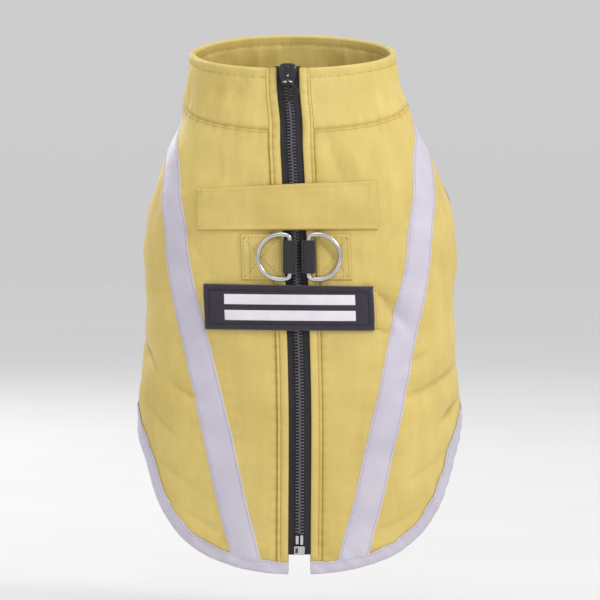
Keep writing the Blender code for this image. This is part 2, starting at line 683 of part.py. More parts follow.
def build_tabs(shell):
    for tab in TABS:
        places = []
        for height in np.linspace(TAB_TOP, TAB_BOTTOM, 3):
            places.append([(angle_at(distance, height), height) for distance in np.linspace(tab.left, tab.right, 6)])
        sheet(tab.name, np.array(places), *TAB_LAYER, shell)


def build_triangle(reflective):
    """The reflective triangle at the throat, point up."""
    places = []
    for share in np.linspace(0, 1, 9):
        height = TRIANGLE_APEX_HEIGHT + (TRIANGLE_BASE_HEIGHT - TRIANGLE_APEX_HEIGHT) * share
        half_point = 0.5
        left = TRIANGLE_APEX_X - half_point + (TRIANGLE_LEFT_X - TRIANGLE_APEX_X + half_point) * share
        right = TRIANGLE_APEX_X + half_point + (TRIANGLE_RIGHT_X - TRIANGLE_APEX_X - half_point) * share
        places.append([(chest_angle(x, height), height) for x in np.linspace(left, right, 5)])
    sheet("chest_triangle", np.array(places), *TRIANGLE, reflective)


# ---------------------------------------------------------------- rings

def wire_sections(points, plane_normal, radius, closed=True):
    """Round sections along a path that lies in one plane."""
    points, normal = np.asarray(points, float), np.asarray(plane_normal, float)
    sections = []
    for i, point in enumerate(points):
        if closed:
            ahead = points[(i + 1) % len(points)] - points[i - 1]
        else:
            ahead = points[min(i + 1, len(points) - 1)] - points[max(i - 1, 0)]
        side = unit(np.cross(unit(ahead), normal))
        sections.append([point + radius * (math.cos(a) * side + math.sin(a) * normal)
                         for a in np.linspace(0, 2 * math.pi, WIRE_SIDES, endpoint=False)])
    return sections


def ring_path(shape):
    """A ring's middle line as (reach from the bar, distance along the bar)."""
    bar_end = shape.half_length * math.sqrt(1 - (shape.bar_offset / shape.reach) ** 2)
    corner = math.degrees(math.atan2(bar_end, shape.bar_offset))
    turns = list(np.linspace(-corner + 4, corner - 4, BAR_STATIONS))
    turns += list(np.linspace(corner + 1.5, 358.5 - corner, BOW_STATIONS))
    path = []
    for turn in np.radians(turns):
        away, along = -math.cos(turn), math.sin(turn)
        oval = 1 / math.hypot(away / shape.reach, along / shape.half_length)
        distance = oval
        if away < -1e-6:
            bar = shape.bar_offset / -away
            distance = (oval ** -CORNER_SHARPNESS + bar ** -CORNER_SHARPNESS) ** (-1 / CORNER_SHARPNESS)
        path.append((distance * away + shape.bar_offset, distance * along))
    return path


def build_ring(name, shape, bar, reach_direction, bar_direction, material):
    """A wire ring whose straight bar runs through the point `bar`."""
    reach_direction, bar_direction = unit(np.array(reach_direction)), unit(np.array(bar_direction))
    normal = np.cross(reach_direction, bar_direction)
    points = [bar + away * reach_direction + along * bar_direction for away, along in ring_path(shape)]
    ring = loft(name, wire_sections(points, normal, WIRE_RADIUS), True, material)
    move_origin(ring, bar)


def build_loop(name, bar, across, along, half_length, material):
    """A fold of webbing round a ring's bar, with a hole for the bar."""
    across, along = unit(np.array(across)), unit(np.array(along))
    depth = np.cross(across, along)
    stations = []
    for turn in np.linspace(0, 2 * math.pi, 20, endpoint=False):
        c, s = math.cos(turn), math.sin(turn)
        size = (abs(c / LOOP_HALF_WIDTH) ** 4 + abs(s / LOOP_HALF_DEPTH) ** 4) ** -0.25
        outer = bar + size * (c * across + s * depth)
        inner = bar + LOOP_HOLE * (c * across + s * depth)
        stations.append([outer - half_length * along, outer + half_length * along,
                         inner + half_length * along, inner - half_length * along])
    loft(name, stations, True, material)


def build_rings(webbing, chrome):
    upright = (0, 0, 1)
    for word, distance, side in (("left", LEFT_BAR, -1), ("right", RIGHT_BAR, 1)):
        bar = cloth(angle_at(distance, BACK_RING_HEIGHT), BACK_RING_HEIGHT, BACK_RING_OUT)
        reach = BACK_RING.reach + BACK_RING.bar_offset
        tip_angle = angle_at(distance + side * reach, BACK_RING_HEIGHT)
        toward = cloth(tip_angle, BACK_RING_HEIGHT, BACK_RING_TIP_OUT) - bar
        build_ring(f"d_ring_{word}", BACK_RING, bar, toward, upright, chrome)
        build_loop(f"ring_loop_{word}", bar, toward, upright, BACK_LOOP_HALF_LENGTH, webbing)
    bar = cloth(chest_angle(CHEST_BAR_X, CHEST_BAR_HEIGHT), CHEST_BAR_HEIGHT, CHEST_BAR_OUT)
    tip_height = CHEST_BAR_HEIGHT - CHEST_RING.reach - CHEST_RING.bar_offset
    toward = cloth(chest_angle(CHEST_BAR_X, tip_height), tip_height, CHEST_TIP_OUT) - bar
    toward[0] = 0
    build_ring("chest_ring", CHEST_RING, bar, toward, (1, 0, 0), chrome)
    build_loop("chest_loop", bar, toward, (1, 0, 0), CHEST_LOOP_HALF_LENGTH, webbing)


def move_origin(made, place):
    """Puts a moving piece's origin on its joint's axis, without moving the piece."""
    place = np.asarray(place) * MM
    for vertex in made.data.vertices:
        vertex.co = tuple(np.array(vertex.co) - place)
    made.location = tuple(place)


def main():
    for old in list(bpy.data.objects):
        bpy.data.objects.remove(old, do_unlink=True)
    shell = finish("yellow_nylon", colour(225, 203, 125), 0.55)
    fleece = finish("charcoal_fleece", colour(60, 57, 62), 0.95)
    reflective = finish("reflective_tape", colour(222, 215, 226), 0.45)
    binding = finish("reflective_binding", colour(222, 215, 226), 0.5)
    tape = finish("black_zip", colour(38, 36, 40), 0.6)
    webbing = finish("black_webbing", colour(34, 32, 36), 0.75)
    badge = finish("black_badge", colour(38, 36, 48), 0.85)
    chrome = finish("steel", colour(214, 214, 216), 0.25, 1.0)
    build_walls(shell, fleece)
    build_collar(shell)
    build_bindings(binding)
    build_strips(reflective)
    build_zip(shell, tape, chrome)
    build_slider(tape)
    build_pull(tape)
    build_bands(shell, badge)
    build_tabs(shell)
    build_triangle(reflective)
    build_rings(webbing, chrome)


main()
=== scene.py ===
"""The looks of the dog jacket: cloth, stitching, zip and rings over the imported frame.

The sewing surface and its tables are those of the part's own source. A place on it is
an angle in degrees round from the zip and a height above the middle of the collar seam,
and `out` is how far a point stands outside it. Lengths are in millimetres, apart from
the cloth's flat sizes and the studio, which are in metres.
"""

import json
import math

import bmesh
import bpy
import numpy as np
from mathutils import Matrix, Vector


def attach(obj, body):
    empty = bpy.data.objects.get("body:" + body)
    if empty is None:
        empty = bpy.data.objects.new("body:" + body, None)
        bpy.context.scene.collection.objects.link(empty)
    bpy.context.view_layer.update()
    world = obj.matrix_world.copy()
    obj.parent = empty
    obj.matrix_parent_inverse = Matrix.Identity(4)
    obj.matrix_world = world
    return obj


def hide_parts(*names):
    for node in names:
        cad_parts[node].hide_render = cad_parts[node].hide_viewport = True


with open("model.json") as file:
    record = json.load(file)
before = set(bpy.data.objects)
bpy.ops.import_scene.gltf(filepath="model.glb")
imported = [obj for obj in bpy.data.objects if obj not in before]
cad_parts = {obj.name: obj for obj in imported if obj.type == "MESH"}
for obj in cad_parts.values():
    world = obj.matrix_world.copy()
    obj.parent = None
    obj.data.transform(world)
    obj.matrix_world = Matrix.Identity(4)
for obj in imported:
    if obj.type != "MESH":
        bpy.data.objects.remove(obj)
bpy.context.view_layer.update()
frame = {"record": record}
MM = 0.001
BODY = "jacket"
SIDES = ((-1, "left"), (1, "right"))
FULL_TURN = 2 * math.pi

# height, half width, middle x, depth to the back, depth to the chest
SECTIONS = (
    (64, 83.5, -6.0, 44.0, 42.0), (42, 87.0, -6.0, 46.0, 45.0), (9, 93.0, -5.2, 50.0, 53.0),
    (-18, 100.0, -2.7, 54.0, 60.0), (-41, 111.0, -2.0, 57.5, 65.5), (-56, 117.6, -1.0, 59.5, 68.5),
    (-83, 127.4, 0.3, 62.0, 72.0), (-119, 131.6, 0.3, 64.0, 74.0), (-173, 133.0, -0.2, 65.0, 73.0),
    (-227, 136.0, -0.2, 64.5, 69.0), (-257, 138.0, 0.0, 63.5, 66.0), (-330, 138.0, 0.0, 60.5, 61.0),
    (-410, 137.5, 0.0, 57.0, 57.0))
# height, how many degrees the zip leans round from the middle
TWISTS = ((60, -3.0), (25, -3.0), (-53, -2.6), (-101, -2.3), (-149, -1.3), (-209, -0.4), (-410, -0.2))
# angle, height of the hem
HEM = (
    (0, -406.8), (10, -405.8), (28, -397.8), (40, -387.0), (53.5, -365.4), (64, -340.2), (73, -312.6),
    (80, -293.4), (88, -280.5), (100, -268.5), (128, -245.4), (151, -225.5), (171, -217.6), (180, -217.2))
# height, angle of the reflective strips' middle
STRIP_LINE = (
    (14, 106.0), (-7, 105.5), (-19, 98.5), (-32, 86.0), (-51, 70.0), (-75, 61.0), (-101, 55.2),
    (-149, 50.0), (-173, 46.4), (-207, 41.2), (-284, 31.2), (-340, 25.6), (-394, 19.5), (-410, 18.0))
STRIP_HALF = 12.5
RIM_LEVEL, RIM_DIP, SEAM_DIP = 45.0, 16.0, 24.6
# the armhole's middle, half its height, and its half widths in degrees to the back and the chest
ARM_ANGLE, ARM_HEIGHT, ARM_HALF, ARM_BACK, ARM_CHEST = 133.0, -69.0, 53.0, 28.9, 24.7
ARM_BACK_DEGREE, ARM_CHEST_DEGREE = 1.12, 2.1
SIDE_TOP, SIDE_DROP, SIDE_SWEEP = -118, 134, 12
# how far from the zip's middle the shell, lining and welt start, and where the shell gathers
SHELL_NEAR, LINING_NEAR, WELT_NEAR, ZIP_SEAM = 19.1, 9.4, 9.6, 19
MM_PER_DEGREE = 1.6

# angle, height, angle, height, width, rise: the folds that the solids have too
LARGE_FOLDS = (
    (84, -229, 43, -252, 11, -2.6), (84, -259, 60, -277, 11, -2.2), (-86, -205, -62, -232, 11, -2.0),
    (21, -225, 19, -330, 13, -1.8), (-25, -230, -21, -350, 13, -1.8), (58, -285, 40, -352, 18, 2.6),
    (-60, -285, -42, -352, 18, 2.4), (-42, -2, -30, 18, 10, -1.6), (159, -6, 158, -50, 12, -2.8),
    (199, -4, 205, -50, 12, -2.8), (205, -156, 226, -178, 13, -2.4), (180, -74, 181, -106, 12, -1.8),
    (156, -150, 163, -180, 13, -2.2), (150, -193, 190, -194, 15, 1.8))
# and the smaller creases
CREASES = (
    (84, -227, 46, -250, 4.5, -2.2), (80, -233, 50, -246, 6, 1.3), (84, -257, 62, -275, 4.5, -1.9),
    (-86, -207, -64, -231, 4.5, -1.6), (-80, -216, -66, -236, 6, 1), (26, -158, 38, -172, 4, -1.4),
    (26, -192, 38, -200, 4, -1.3), (33, -168, 44, -194, 5, -1.4), (-33, 0, -23, 21, 4, -1.7),
    (-48, -2, -40, 14, 4.5, -1.3), (30, -4, 34, 16, 5, -1.2), (60, -2, 58, 18, 5, -1.2),
    (95, 6, 92, 30, 5, -1.2), (-70, -4, -74, 22, 5, -1.2), (-100, 8, -96, 34, 5, -1.2),
    (45, -100, 30, -135, 9, -1.3), (-46, -110, -32, -150, 9, -1.2), (70, -60, 78, -110, 9, -1.4),
    (-70, -62, -78, -112, 9, -1.3), (92, -96, 88, -150, 10, 1.7), (-92, -96, -88, -150, 10, 1.6),
    (98, -130, 96, -210, 9, -1.6), (-98, -130, -97, -215, 9, -1.6), (55, -215, 30, -236, 6, -1.4),
    (-55, -240, -34, -262, 6, -1.4), (-70, -262, -48, -290, 6, -1.3), (66, -300, 38, -330, 8, -1.7),
    (-64, -305, -38, -335, 8, -1.6), (46, -352, 28, -372, 7, -1.3), (-46, -352, -28, -372, 7, -1.3),
    (163, 8, 161, -44, 4.5, -1.9), (168, 10, 165, -30, 5, 1.3), (196, 6, 203, -48, 4.5, -1.7),
    (18, -36, 21, -70, 6, -1.5), (27, -36, 28, -70, 7, 1.4), (-34, -40, -30, -72, 7, -1.2),
    (40, -48, 34, -74, 6, -1.1), (-50, -226, -32, -206, 7, -1.2), (48, -205, 30, -160, 8, -1.2),
    (190, 8, 190, -22, 5, 1.2), (176, -62, 178, -84, 4, -1.6), (183, -66, 184, -104, 5, -1.3),
    (208, -158, 226, -176, 4.5, -1.7), (214, -150, 229, -160, 5, 1.2), (154, -152, 160, -180, 4.5, -1.4),
    (170, -182, 196, -186, 5, -1.4), (198, -184, 220, -204, 6, -1.3), (142, -196, 164, -206, 6, -1.2),
    (176, -118, 172, -160, 9, -1.2), (188, -122, 194, -170, 9, -1.2), (120, -150, 118, -205, 7, -1.4),
    (240, -150, 242, -205, 7, -1.4), (140, -140, 128, -170, 6, -1.3), (220, -140, 232, -168, 6, -1.3))
# length, direction in radians, rise, phase of the soft waves all over the cloth
SOFT_WAVES = ((61, 0.4, 0.36, 0.3), (47, 1.9, 0.34, 1.7), (83, 2.6, 0.4, 4.0), (29, 1.1, 0.24, 2.2),
              (35, 2.2, 0.24, 5.1))


class Curve:
    """A smooth curve through a table's rows, from the first column to another."""

    def __init__(self, table, column=1):
        rows = np.array(sorted(table), float)
        self.places, self.values = rows[:, 0], rows[:, column]
        self.slopes = np.gradient(self.values, self.places)

    def __call__(self, at):
        at = np.clip(at, self.places[0], self.places[-1])
        row = np.clip(np.searchsorted(self.places, at) - 1, 0, len(self.places) - 2)
        step = self.places[row + 1] - self.places[row]
        t = (at - self.places[row]) / step
        start = (1 + 2 * t) * (1 - t) ** 2 * self.values[row] + t * (1 - t) ** 2 * step * self.slopes[row]
        end = t * t * (3 - 2 * t) * self.values[row + 1] - t * t * (1 - t) * step * self.slopes[row + 1]
        return start + end


HALF_WIDTH, CENTRE_X, BACK_DEPTH, CHEST_DEPTH = (Curve(SECTIONS, column) for column in (1, 2, 3, 4))
TWIST, HEM_CURVE, STRIP_CURVE = Curve(TWISTS), Curve(HEM), Curve(STRIP_LINE)


def unit(vectors):
    return vectors / np.linalg.norm(vectors, axis=-1, keepdims=True)


def bell(distance, width):
    """1 at no distance, and fading over the width."""
    return np.exp(-((distance / width) ** 2))


def running_length(points, axis=0):
    """Lengths from the start of a path, or of each column (axis 0) or row (axis 1) of a grid."""
    lengths = np.linalg.norm(np.diff(points, axis=axis), axis=-1)
    return np.insert(np.cumsum(lengths, axis=axis), 0, 0.0, axis=axis)


def resampled(line, marks):
    """A list of values read at places between its items."""
    return np.interp(marks, np.arange(len(line)), line)


def both_ways(*distances):
    """0 and the distances on both sides of it, in order."""
    return np.array([-distance for distance in reversed(distances)] + [0, *distances])


# ---- the sewing surface

def bare_cloth(angle, height):
    angle, height = np.broadcast_arrays(np.asarray(angle, float), np.asarray(height, float))
    turn = np.radians(angle + TWIST(height) * np.cos(np.radians(angle) / 2) ** 2)
    backness = (1 + np.cos(turn)) / 2
    depth = BACK_DEPTH(height) * backness + CHEST_DEPTH(height) * (1 - backness)
    x = CENTRE_X(height) + HALF_WIDTH(height) * np.sin(turn)
    return np.stack([x, -depth * np.cos(turn), height], -1)


def steps(angle, height):
    """How a place moves with a degree round, and with a millimetre up."""
    round_step = bare_cloth(np.add(angle, 0.5), height) - bare_cloth(np.subtract(angle, 0.5), height)
    up_step = (bare_cloth(angle, np.add(height, 2.0)) - bare_cloth(angle, np.subtract(height, 2.0))) / 4
    return round_step, up_step


def outward(angle, height):
    return unit(np.cross(*steps(angle, height)))


def signed_angle(angle):
    return (np.asarray(angle, float) + 180) % 360 - 180


def folded_angle(angle):
    return np.abs(signed_angle(angle))


def rim_height(angle):
    return RIM_LEVEL - RIM_DIP * np.cos(np.radians(angle))


def seam_height(angle):
    return -SEAM_DIP * np.cos(np.radians(angle))


def hem_height(angle, inset=0.0):
    at = folded_angle(angle)
    slope = HEM_CURVE(at + 0.5) - HEM_CURVE(at - 0.5)
    per_degree = np.linalg.norm(steps(at, HEM_CURVE(at))[0], axis=-1)
    return HEM_CURVE(at) + inset * np.hypot(1, slope / per_degree)


def fold_frames(table, spread, strength, sharpness):
    """Each fold with its length as a vector in millimetres, ready for fold_lift."""
    frames = []
    for angle_a, height_a, angle_b, height_b, width, rise in table:
        round_step = steps((angle_a + angle_b) / 2, (height_a + height_b) / 2)[0]
        per_degree = float(np.linalg.norm(round_step))
        way = ((angle_b - angle_a) * per_degree, height_b - height_a)
        frames.append((angle_a, height_a, per_degree, way, width * spread, rise * strength, sharpness))
    return frames


FOLD_FRAMES = fold_frames(LARGE_FOLDS, 1.0, 1.0, 2.0) + fold_frames(CREASES, 1.2, 1.5, 1.5)


def fold_lift(angle, height):
    lift = np.zeros(angle.shape)
    for angle_a, height_a, per_degree, way, width, rise, sharpness in FOLD_FRAMES:
        across, up = signed_angle(angle - angle_a) * per_degree, height - height_a
        share = np.clip((across * way[0] + up * way[1]) / (way[0] ** 2 + way[1] ** 2), 0, 1)
        distance = np.hypot(across - share * way[0], up - share * way[1])
        lift += rise * np.exp(-((distance / width) ** sharpness)) * np.sin(math.pi * (0.12 + 0.76 * share))
    return lift


def gathers(along, away, pitch, reach, rise):
    """Small gathers beside a seam: `along` it and `away` from it."""
    wobble = np.sin(along / pitch * FULL_TURN + 1.3 * np.sin(along / (pitch * 2.7)))
    return rise * wobble * bell(away, reach)


def relief(angle, height):
    """Everything that lifts the cloth: folds, creases, soft waves, gathers at the seams."""
    angle, height = np.broadcast_arrays(np.asarray(angle, float), np.asarray(height, float))
    girth = signed_angle(angle) * MM_PER_DEGREE
    lift = fold_lift(angle, height)
    for length, way, rise, phase in SOFT_WAVES:
        along = girth * math.cos(way) + height * math.sin(way)
        lift = lift + rise * np.sin(along * FULL_TURN / length + phase)
    down_side = np.clip((SIDE_TOP - height) / SIDE_DROP, 0, 1)
    from_side = (folded_angle(angle) - (ARM_ANGLE - SIDE_SWEEP * down_side)) * 1.7
    from_strip = (folded_angle(angle) - STRIP_CURVE(height)) * 1.5
    up, sweep = arm_place(angle, height)
    # along the seam, away from it, pitch, reach, rise
    seams = (
        (girth, height - seam_height(angle), 11.0, 9.0, 0.42),
        (girth + height * 0.7, (height - hem_height(angle)) * 0.8, 14.0, 16.0, 0.42),
        (height, from_side, 12.5, 9.0, 0.45 * np.clip(down_side * 12, 0, 1)),
        (height, from_strip + STRIP_HALF, 12.0, 4.5, 0.16),
        (height, from_strip - STRIP_HALF, 12.0, 4.5, 0.16),
        (height, np.abs(girth) * 1.4 - ZIP_SEAM, 10.0, 5.0, 0.22),
        (np.degrees(np.arctan2(sweep, up)) * 0.95, (np.hypot(up, sweep) - 1) * 50, 13.0, 12.0, 0.45))
    return lift + sum(gathers(*seam) for seam in seams)


def cloth(angle, height, out=0.0):
    lift = relief(angle, height) + out
    return bare_cloth(angle, height) + outward(angle, height) * lift[..., None]


TABLE_STEP = 3.0
TABLE_HEIGHTS = np.arange(-412.0, 70.0, TABLE_STEP)
TABLE_REACH = 130


def angle_table(start):
    """Angles at each whole millimetre round from `start`, one row for each table height."""
    rows = []
    for height in TABLE_HEIGHTS:
        halves = []
        for side in (-1, 1):
            sweep = start + side * np.arange(0, 141, 1.0)
            run = running_length(bare_cloth(sweep, height))
            halves.append(np.interp(np.arange(TABLE_REACH + 1), run, sweep))
        rows.append(np.concatenate([halves[0][:0:-1], halves[1]]))
    return np.array(rows)


ANGLE_TABLES = {start: angle_table(start) for start in (0.0, 180.0)}


def angle_at(distance, height, start=0.0):
    """The angle of a point `distance` round from `start` along the cloth."""
    table = ANGLE_TABLES[start]
    row = (np.asarray(height, float) - TABLE_HEIGHTS[0]) / TABLE_STEP
    row = np.clip(row, 0, len(TABLE_HEIGHTS) - 1.001)
    column = np.clip(np.asarray(distance, float) + TABLE_REACH, 0, 2 * TABLE_REACH - 0.001)
    r, c = row.astype(int), column.astype(int)
    fr, fc = row - r, column - c
    near = table[r, c] * (1 - fc) + table[r, c + 1] * fc
    return near * (1 - fr) + (table[r + 1, c] * (1 - fc) + table[r + 1, c + 1] * fc) * fr


def chest_angle(x, height):
    return angle_at(CENTRE_X(height) - x, height, 180.0)


def beside(angle, height, heading, distance):
    """The place `distance` to the left of a heading given in (degrees, millimetres)."""
    round_step, up_step = steps(angle, height)
    line = heading[..., :1] * round_step + heading[..., 1:] * up_step
    aside = unit(np.cross(np.cross(round_step, up_step), line)) * np.asarray(distance, float)[..., None]
    pairs = ((round_step, round_step), (round_step, up_step), (up_step, up_step), (aside, round_step),
             (aside, up_step))
    rr, ru, uu, ar, au = ((a * b).sum(-1) for a, b in pairs)
    scale = rr * uu - ru * ru
    return angle + (uu * ar - ru * au) / scale, height + (rr * au - ru * ar) / scale


def armhole(turn, out=0.0):
    """A place on the armhole's edge, or `out` beyond it. Turn 0 is its top, 90 towards the back."""
    rise, sweep = np.cos(np.radians(turn)), np.sin(np.radians(turn))
    back = (ARM_BACK + out / ARM_BACK_DEGREE) * sweep * (1 - 0.25 * rise)
    chest = (ARM_CHEST + out / ARM_CHEST_DEGREE) * sweep * (1 - 0.12 * rise)
    return ARM_ANGLE - np.where(sweep >= 0, back, chest), ARM_HEIGHT + (ARM_HALF + out) * rise


def arm_place(angle, height):
    """A place as (up, round) shares of the armhole's oval, about 1 on its edge."""
    middle_half = 26.5
    return (height - ARM_HEIGHT) / ARM_HALF, (folded_angle(angle) - ARM_ANGLE) / middle_half


# ---- the panels' grids

ROWS_SHOULDER, ROWS_ARMHOLE, ROWS_SIDE = 2, 10, 7
SEAM_GAP, ARM_INSET, HEM_INSET = 0.5, 3.6, 2.6
SHOULDER_ANGLE, SIDE_ANGLE = 134.0, 121.0


def panel_top(angle):
    return seam_height(angle) - SEAM_GAP / 2


def panel_bottom(angle):
    return hem_height(angle, HEM_INSET)


def side_path(towards_back):
    """Shoulder seam, one side of the armhole, then the side seam down to the hem."""
    top_angle, top = armhole(0, ARM_INSET)
    bottom_angle, bottom = armhole(180, ARM_INSET)
    start, end = panel_top(SHOULDER_ANGLE), float(panel_bottom(SIDE_ANGLE))
    places = []
    for share in np.linspace(0, 1, ROWS_SHOULDER, endpoint=False):
        places.append((SHOULDER_ANGLE + (top_angle - SHOULDER_ANGLE) * share, start + (top - start) * share))
    for turn in np.linspace(0, 180 if towards_back else -180, ROWS_ARMHOLE, endpoint=False):
        places.append(armhole(turn, ARM_INSET))
    for share in np.linspace(0, 1, ROWS_SIDE + 1):
        angle = bottom_angle + (SIDE_ANGLE - bottom_angle) * share - math.sin(math.pi * share)
        places.append((angle, bottom + (end - bottom) * share))
    return np.array(places) + ((-0.2 if towards_back else 0.2), 0)


def zip_side_path(distance, rows):
    angle = angle_at(distance, -200)
    heights = np.linspace(panel_top(angle), panel_bottom(angle), rows + 1)
    return np.stack([angle_at(distance, heights), heights], -1)


def panel_places(near, far, columns, by_length):
    """A panel's grid between two side paths, its columns spaced partly by angle, partly by length."""
    marks = np.linspace(0, 1, 401)
    run = running_length(bare_cloth(near[-1, 0] + (far[-1, 0] - near[-1, 0]) * marks, -170.0))
    shares = np.linspace(0, 1, columns + 1)
    across = ((1 - by_length) * shares + by_length * np.interp(shares, run / run[-1], marks))[None, :]

    def down(places):
        top, bottom = panel_top(places[:, 0]), panel_bottom(places[:, 0])
        return ((places[:, 1] - top) / (bottom - top))[:, None]

    angle = near[:, :1] * (1 - across) + far[:, :1] * across
    share = down(near) * (1 - across) + down(far) * across
    height = panel_top(angle) + (panel_bottom(angle) - panel_top(angle)) * share
    places = np.stack([angle, height], -1)
    for _ in range(4):
        inside = places[:-2, 1:-1] + places[2:, 1:-1] + places[1:-1, :-2] + places[1:-1, 2:]
        places[1:-1, 1:-1] = inside / 4
    return places


def finer(places, per_row, per_column):
    """The same grid with more places, closest together at its edges."""
    for axis, per in ((0, per_row), (1, per_column)):
        count = places.shape[axis] - 1
        close = [0.03, 0.09, count - 0.03, count - 0.09]
        marks = np.unique(np.concatenate([np.linspace(0, count, count * per + 1), close]))
        places = np.apply_along_axis(resampled, axis, places, marks)
    return places


def mirrored(places, side):
    return np.asarray(places) * np.array([side, 1])


# ---- making meshes

def make(name, points, faces, material, uvs=None, body=BODY, sharp=40):
    mesh = bpy.data.meshes.new(name)
    mesh.from_pydata((np.asarray(points) * MM).tolist(), [], faces)
    if uvs is not None:
        layer = mesh.uv_layers.new(name="cloth")
        corner = np.empty(len(mesh.loops), int)
        mesh.loops.foreach_get("vertex_index", corner)
        layer.data.foreach_set("uv", (np.asarray(uvs) * MM)[corner].astype(np.float32).ravel())
    shape = bmesh.new()
    shape.from_mesh(mesh)
    bmesh.ops.recalc_face_normals(shape, faces=shape.faces)
    if shape.calc_volume(signed=True) < 0:
        bmesh.ops.reverse_faces(shape, faces=shape.faces)
    shape.to_mesh(mesh)
    shape.free()
    mesh.shade_smooth()
    mesh.set_sharp_from_angle(angle=math.radians(sharp))
    made = bpy.data.objects.new(name, mesh)
    made.data.materials.append(material)
    bpy.context.scene.collection.objects.link(made)
    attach(made, body)
    return made


def edge_distance(across, down):
    """How far each point of a grid is from its edge, from its running lengths."""
    return np.minimum(np.minimum(across, across[:, -1:] - across), np.minimum(down, down[-1:] - down))


def crease_shade(angle, height):
    """How far the cloth lies below what is around it, for painted shade: 0 on a crest, 1 in a deep crease."""
    per_degree = np.linalg.norm(steps(angle, height)[0], axis=-1)
    around = 0
    for across, up in ((3, 0), (-3, 0), (0, 3), (0, -3)):
        around = around + relief(angle + across / per_degree, height + up) / 4
    return np.clip((around - relief(angle, height)) / 0.8, 0, 1)


def wall(name, places, low, high, material, roll=2.2, tuck=0.7, extra=0.0, crease_shaded=True, pad=0.0):
    """A thin closed sheet over a grid of places, its edges rolled under like a seam."""
    rows, columns = places.shape[:2]
    angle, height = places[..., 0], places[..., 1]
    base, lift, normal = bare_cloth(angle, height), relief(angle, height), outward(angle, height)
    across, down = running_length(base, 1), running_length(base, 0)
    from_edge = edge_distance(across, down)
    near_edge = np.clip(1 - from_edge / roll, 0, 1) ** 2
    thickness = np.max(high) - np.min(low)
    top = lift + high - tuck * thickness * near_edge - pad * np.exp(-from_edge / 5.0) + extra
    upper = base + normal * top[..., None]
    lower = base + normal * (lift + low)[..., None]
    under = rows * columns
    index = np.arange(under).reshape(rows, columns)
    quads = np.stack([index[:-1, :-1], index[1:, :-1], index[1:, 1:], index[:-1, 1:]], -1).reshape(-1, 4)
    edge = np.concatenate([index[0, :-1], index[:-1, -1], index[-1, :0:-1], index[:0:-1, 0]])
    ahead = np.roll(edge, -1)
    sides = np.stack([edge, ahead, ahead + under, edge + under], -1)
    faces = np.concatenate([quads, quads[:, ::-1] + under, sides]).tolist()
    points = np.concatenate([upper.reshape(-1, 3), lower.reshape(-1, 3)])
    uvs = np.tile(np.stack([across, down], -1).reshape(-1, 2), (2, 1))
    made = make(name, points, faces, material, uvs)
    # painted shade: darker in the creases and along the rolled edges, kept in the shade attribute
    shade = np.clip((crease_shade(angle, height) if crease_shaded else 0) + 0.8 * near_edge, 0, 1)
    layer = made.data.attributes.new("shade", "FLOAT", "POINT")
    layer.data.foreach_set("value", np.tile(shade.ravel(), 2).astype(np.float32))
    return made


def ring_faces(count, around, closed=False):
    """The faces of `count` rings of `around` points, with end caps unless they close."""
    faces = []
    for i in range(count if closed else count - 1):
        j = (i + 1) % count
        for k in range(around):
            n = (k + 1) % around
            faces.append([i * around + k, i * around + n, j * around + n, j * around + k])
    if not closed:
        faces.append(list(range(around)))
        faces.append([(count - 1) * around + k for k in reversed(range(around))])
    return faces


def repeated(faces, count, points_each):
    """The faces of one small form, once for each of `count` copies."""
    return [[corner + copy * points_each for corner in face] for copy in range(count) for face in faces]


def loft(name, stations, closed, material, body=BODY, sharp=50):
    stations = np.asarray(stations, float)
    count, around = stations.shape[:2]
    girth, run = running_length(stations, 1), running_length(stations[:, 0])
    uvs = np.stack([girth, np.repeat(run[:, None], around, 1)], -1).reshape(-1, 2)
    return make(name, stations.reshape(-1, 3), ring_faces(count, around, closed), material, uvs, body, sharp)


def section_ring(centre, radius, side, other, count):
    """Points round a centre, in the plane of two unit directions."""
    turns = np.linspace(0, FULL_TURN, count, endpoint=False)
    return [centre + radius * (math.cos(t) * side + math.sin(t) * other) for t in turns]


def tube(points, radius, sides=10, closed=True):
    """Round sections along a path in space."""
    ahead = unit(np.roll(points, -1, 0) - np.roll(points, 1, 0) if closed else np.gradient(points, axis=0))
    normal = np.cross(ahead[0], (0.13, 0.9, 0.31))
    sections = []
    for point, way in zip(points, ahead):
        normal = unit(normal - way * (normal @ way))
        sections.append(section_ring(point, radius, normal, np.cross(way, normal), sides))
    return sections


def spline(points, count, closed=True):
    """A smooth path through a few points."""
    points = np.asarray(points, float)
    total = len(points)
    path = []
    for t in np.linspace(0, total if closed else total - 1, count, endpoint=not closed):
        i = min(int(t), total - 1 if closed else total - 2)
        f = t - i
        near = [(i + k) % total if closed else min(max(i + k, 0), total - 1) for k in (-1, 0, 1, 2)]
        a, b, c, d = points[near]
        square, cube = (2 * a - 5 * b + 4 * c - d) * f * f, (3 * b - a - 3 * c + d) * f ** 3
        path.append(0.5 * (2 * b + (c - a) * f + square + cube))
    return np.array(path)


def stitches(name, lines, material, pitch=3.2, length=2.3, radius=0.26):
    """Rows of thread stitches. Each line is its points and the ways out of the cloth there."""
    around, points = 5, []
    for path, normals in lines:
        path, normals = np.asarray(path, float), unit(np.asarray(normals, float))
        run = running_length(path)
        count = max(1, int(run[-1] / pitch))
        for k in range(count):
            middle = (k + 0.5) * run[-1] / count
            start, centre, end = (np.array([np.interp(middle + shift, run, line) for line in path.T])
                                  for shift in (-length / 2, 0, length / 2))
            up = unit(np.array([np.interp(middle, run, line) for line in normals.T]))
            way = unit(end - start)
            side, full = np.cross(way, up), way * length * 0.2
            for place, size, lift in ((start, 0.45, -0.5), (centre - full, 1.0, 0.35),
                                      (centre + full, 1.0, 0.35), (end, 0.45, -0.5)):
                points += section_ring(place + up * radius * lift, radius * size, up, side, around)
    each = 4 * around
    faces = repeated(ring_faces(4, around), len(points) // each, each)
    return make(name, points, faces, material, None, BODY, 80)


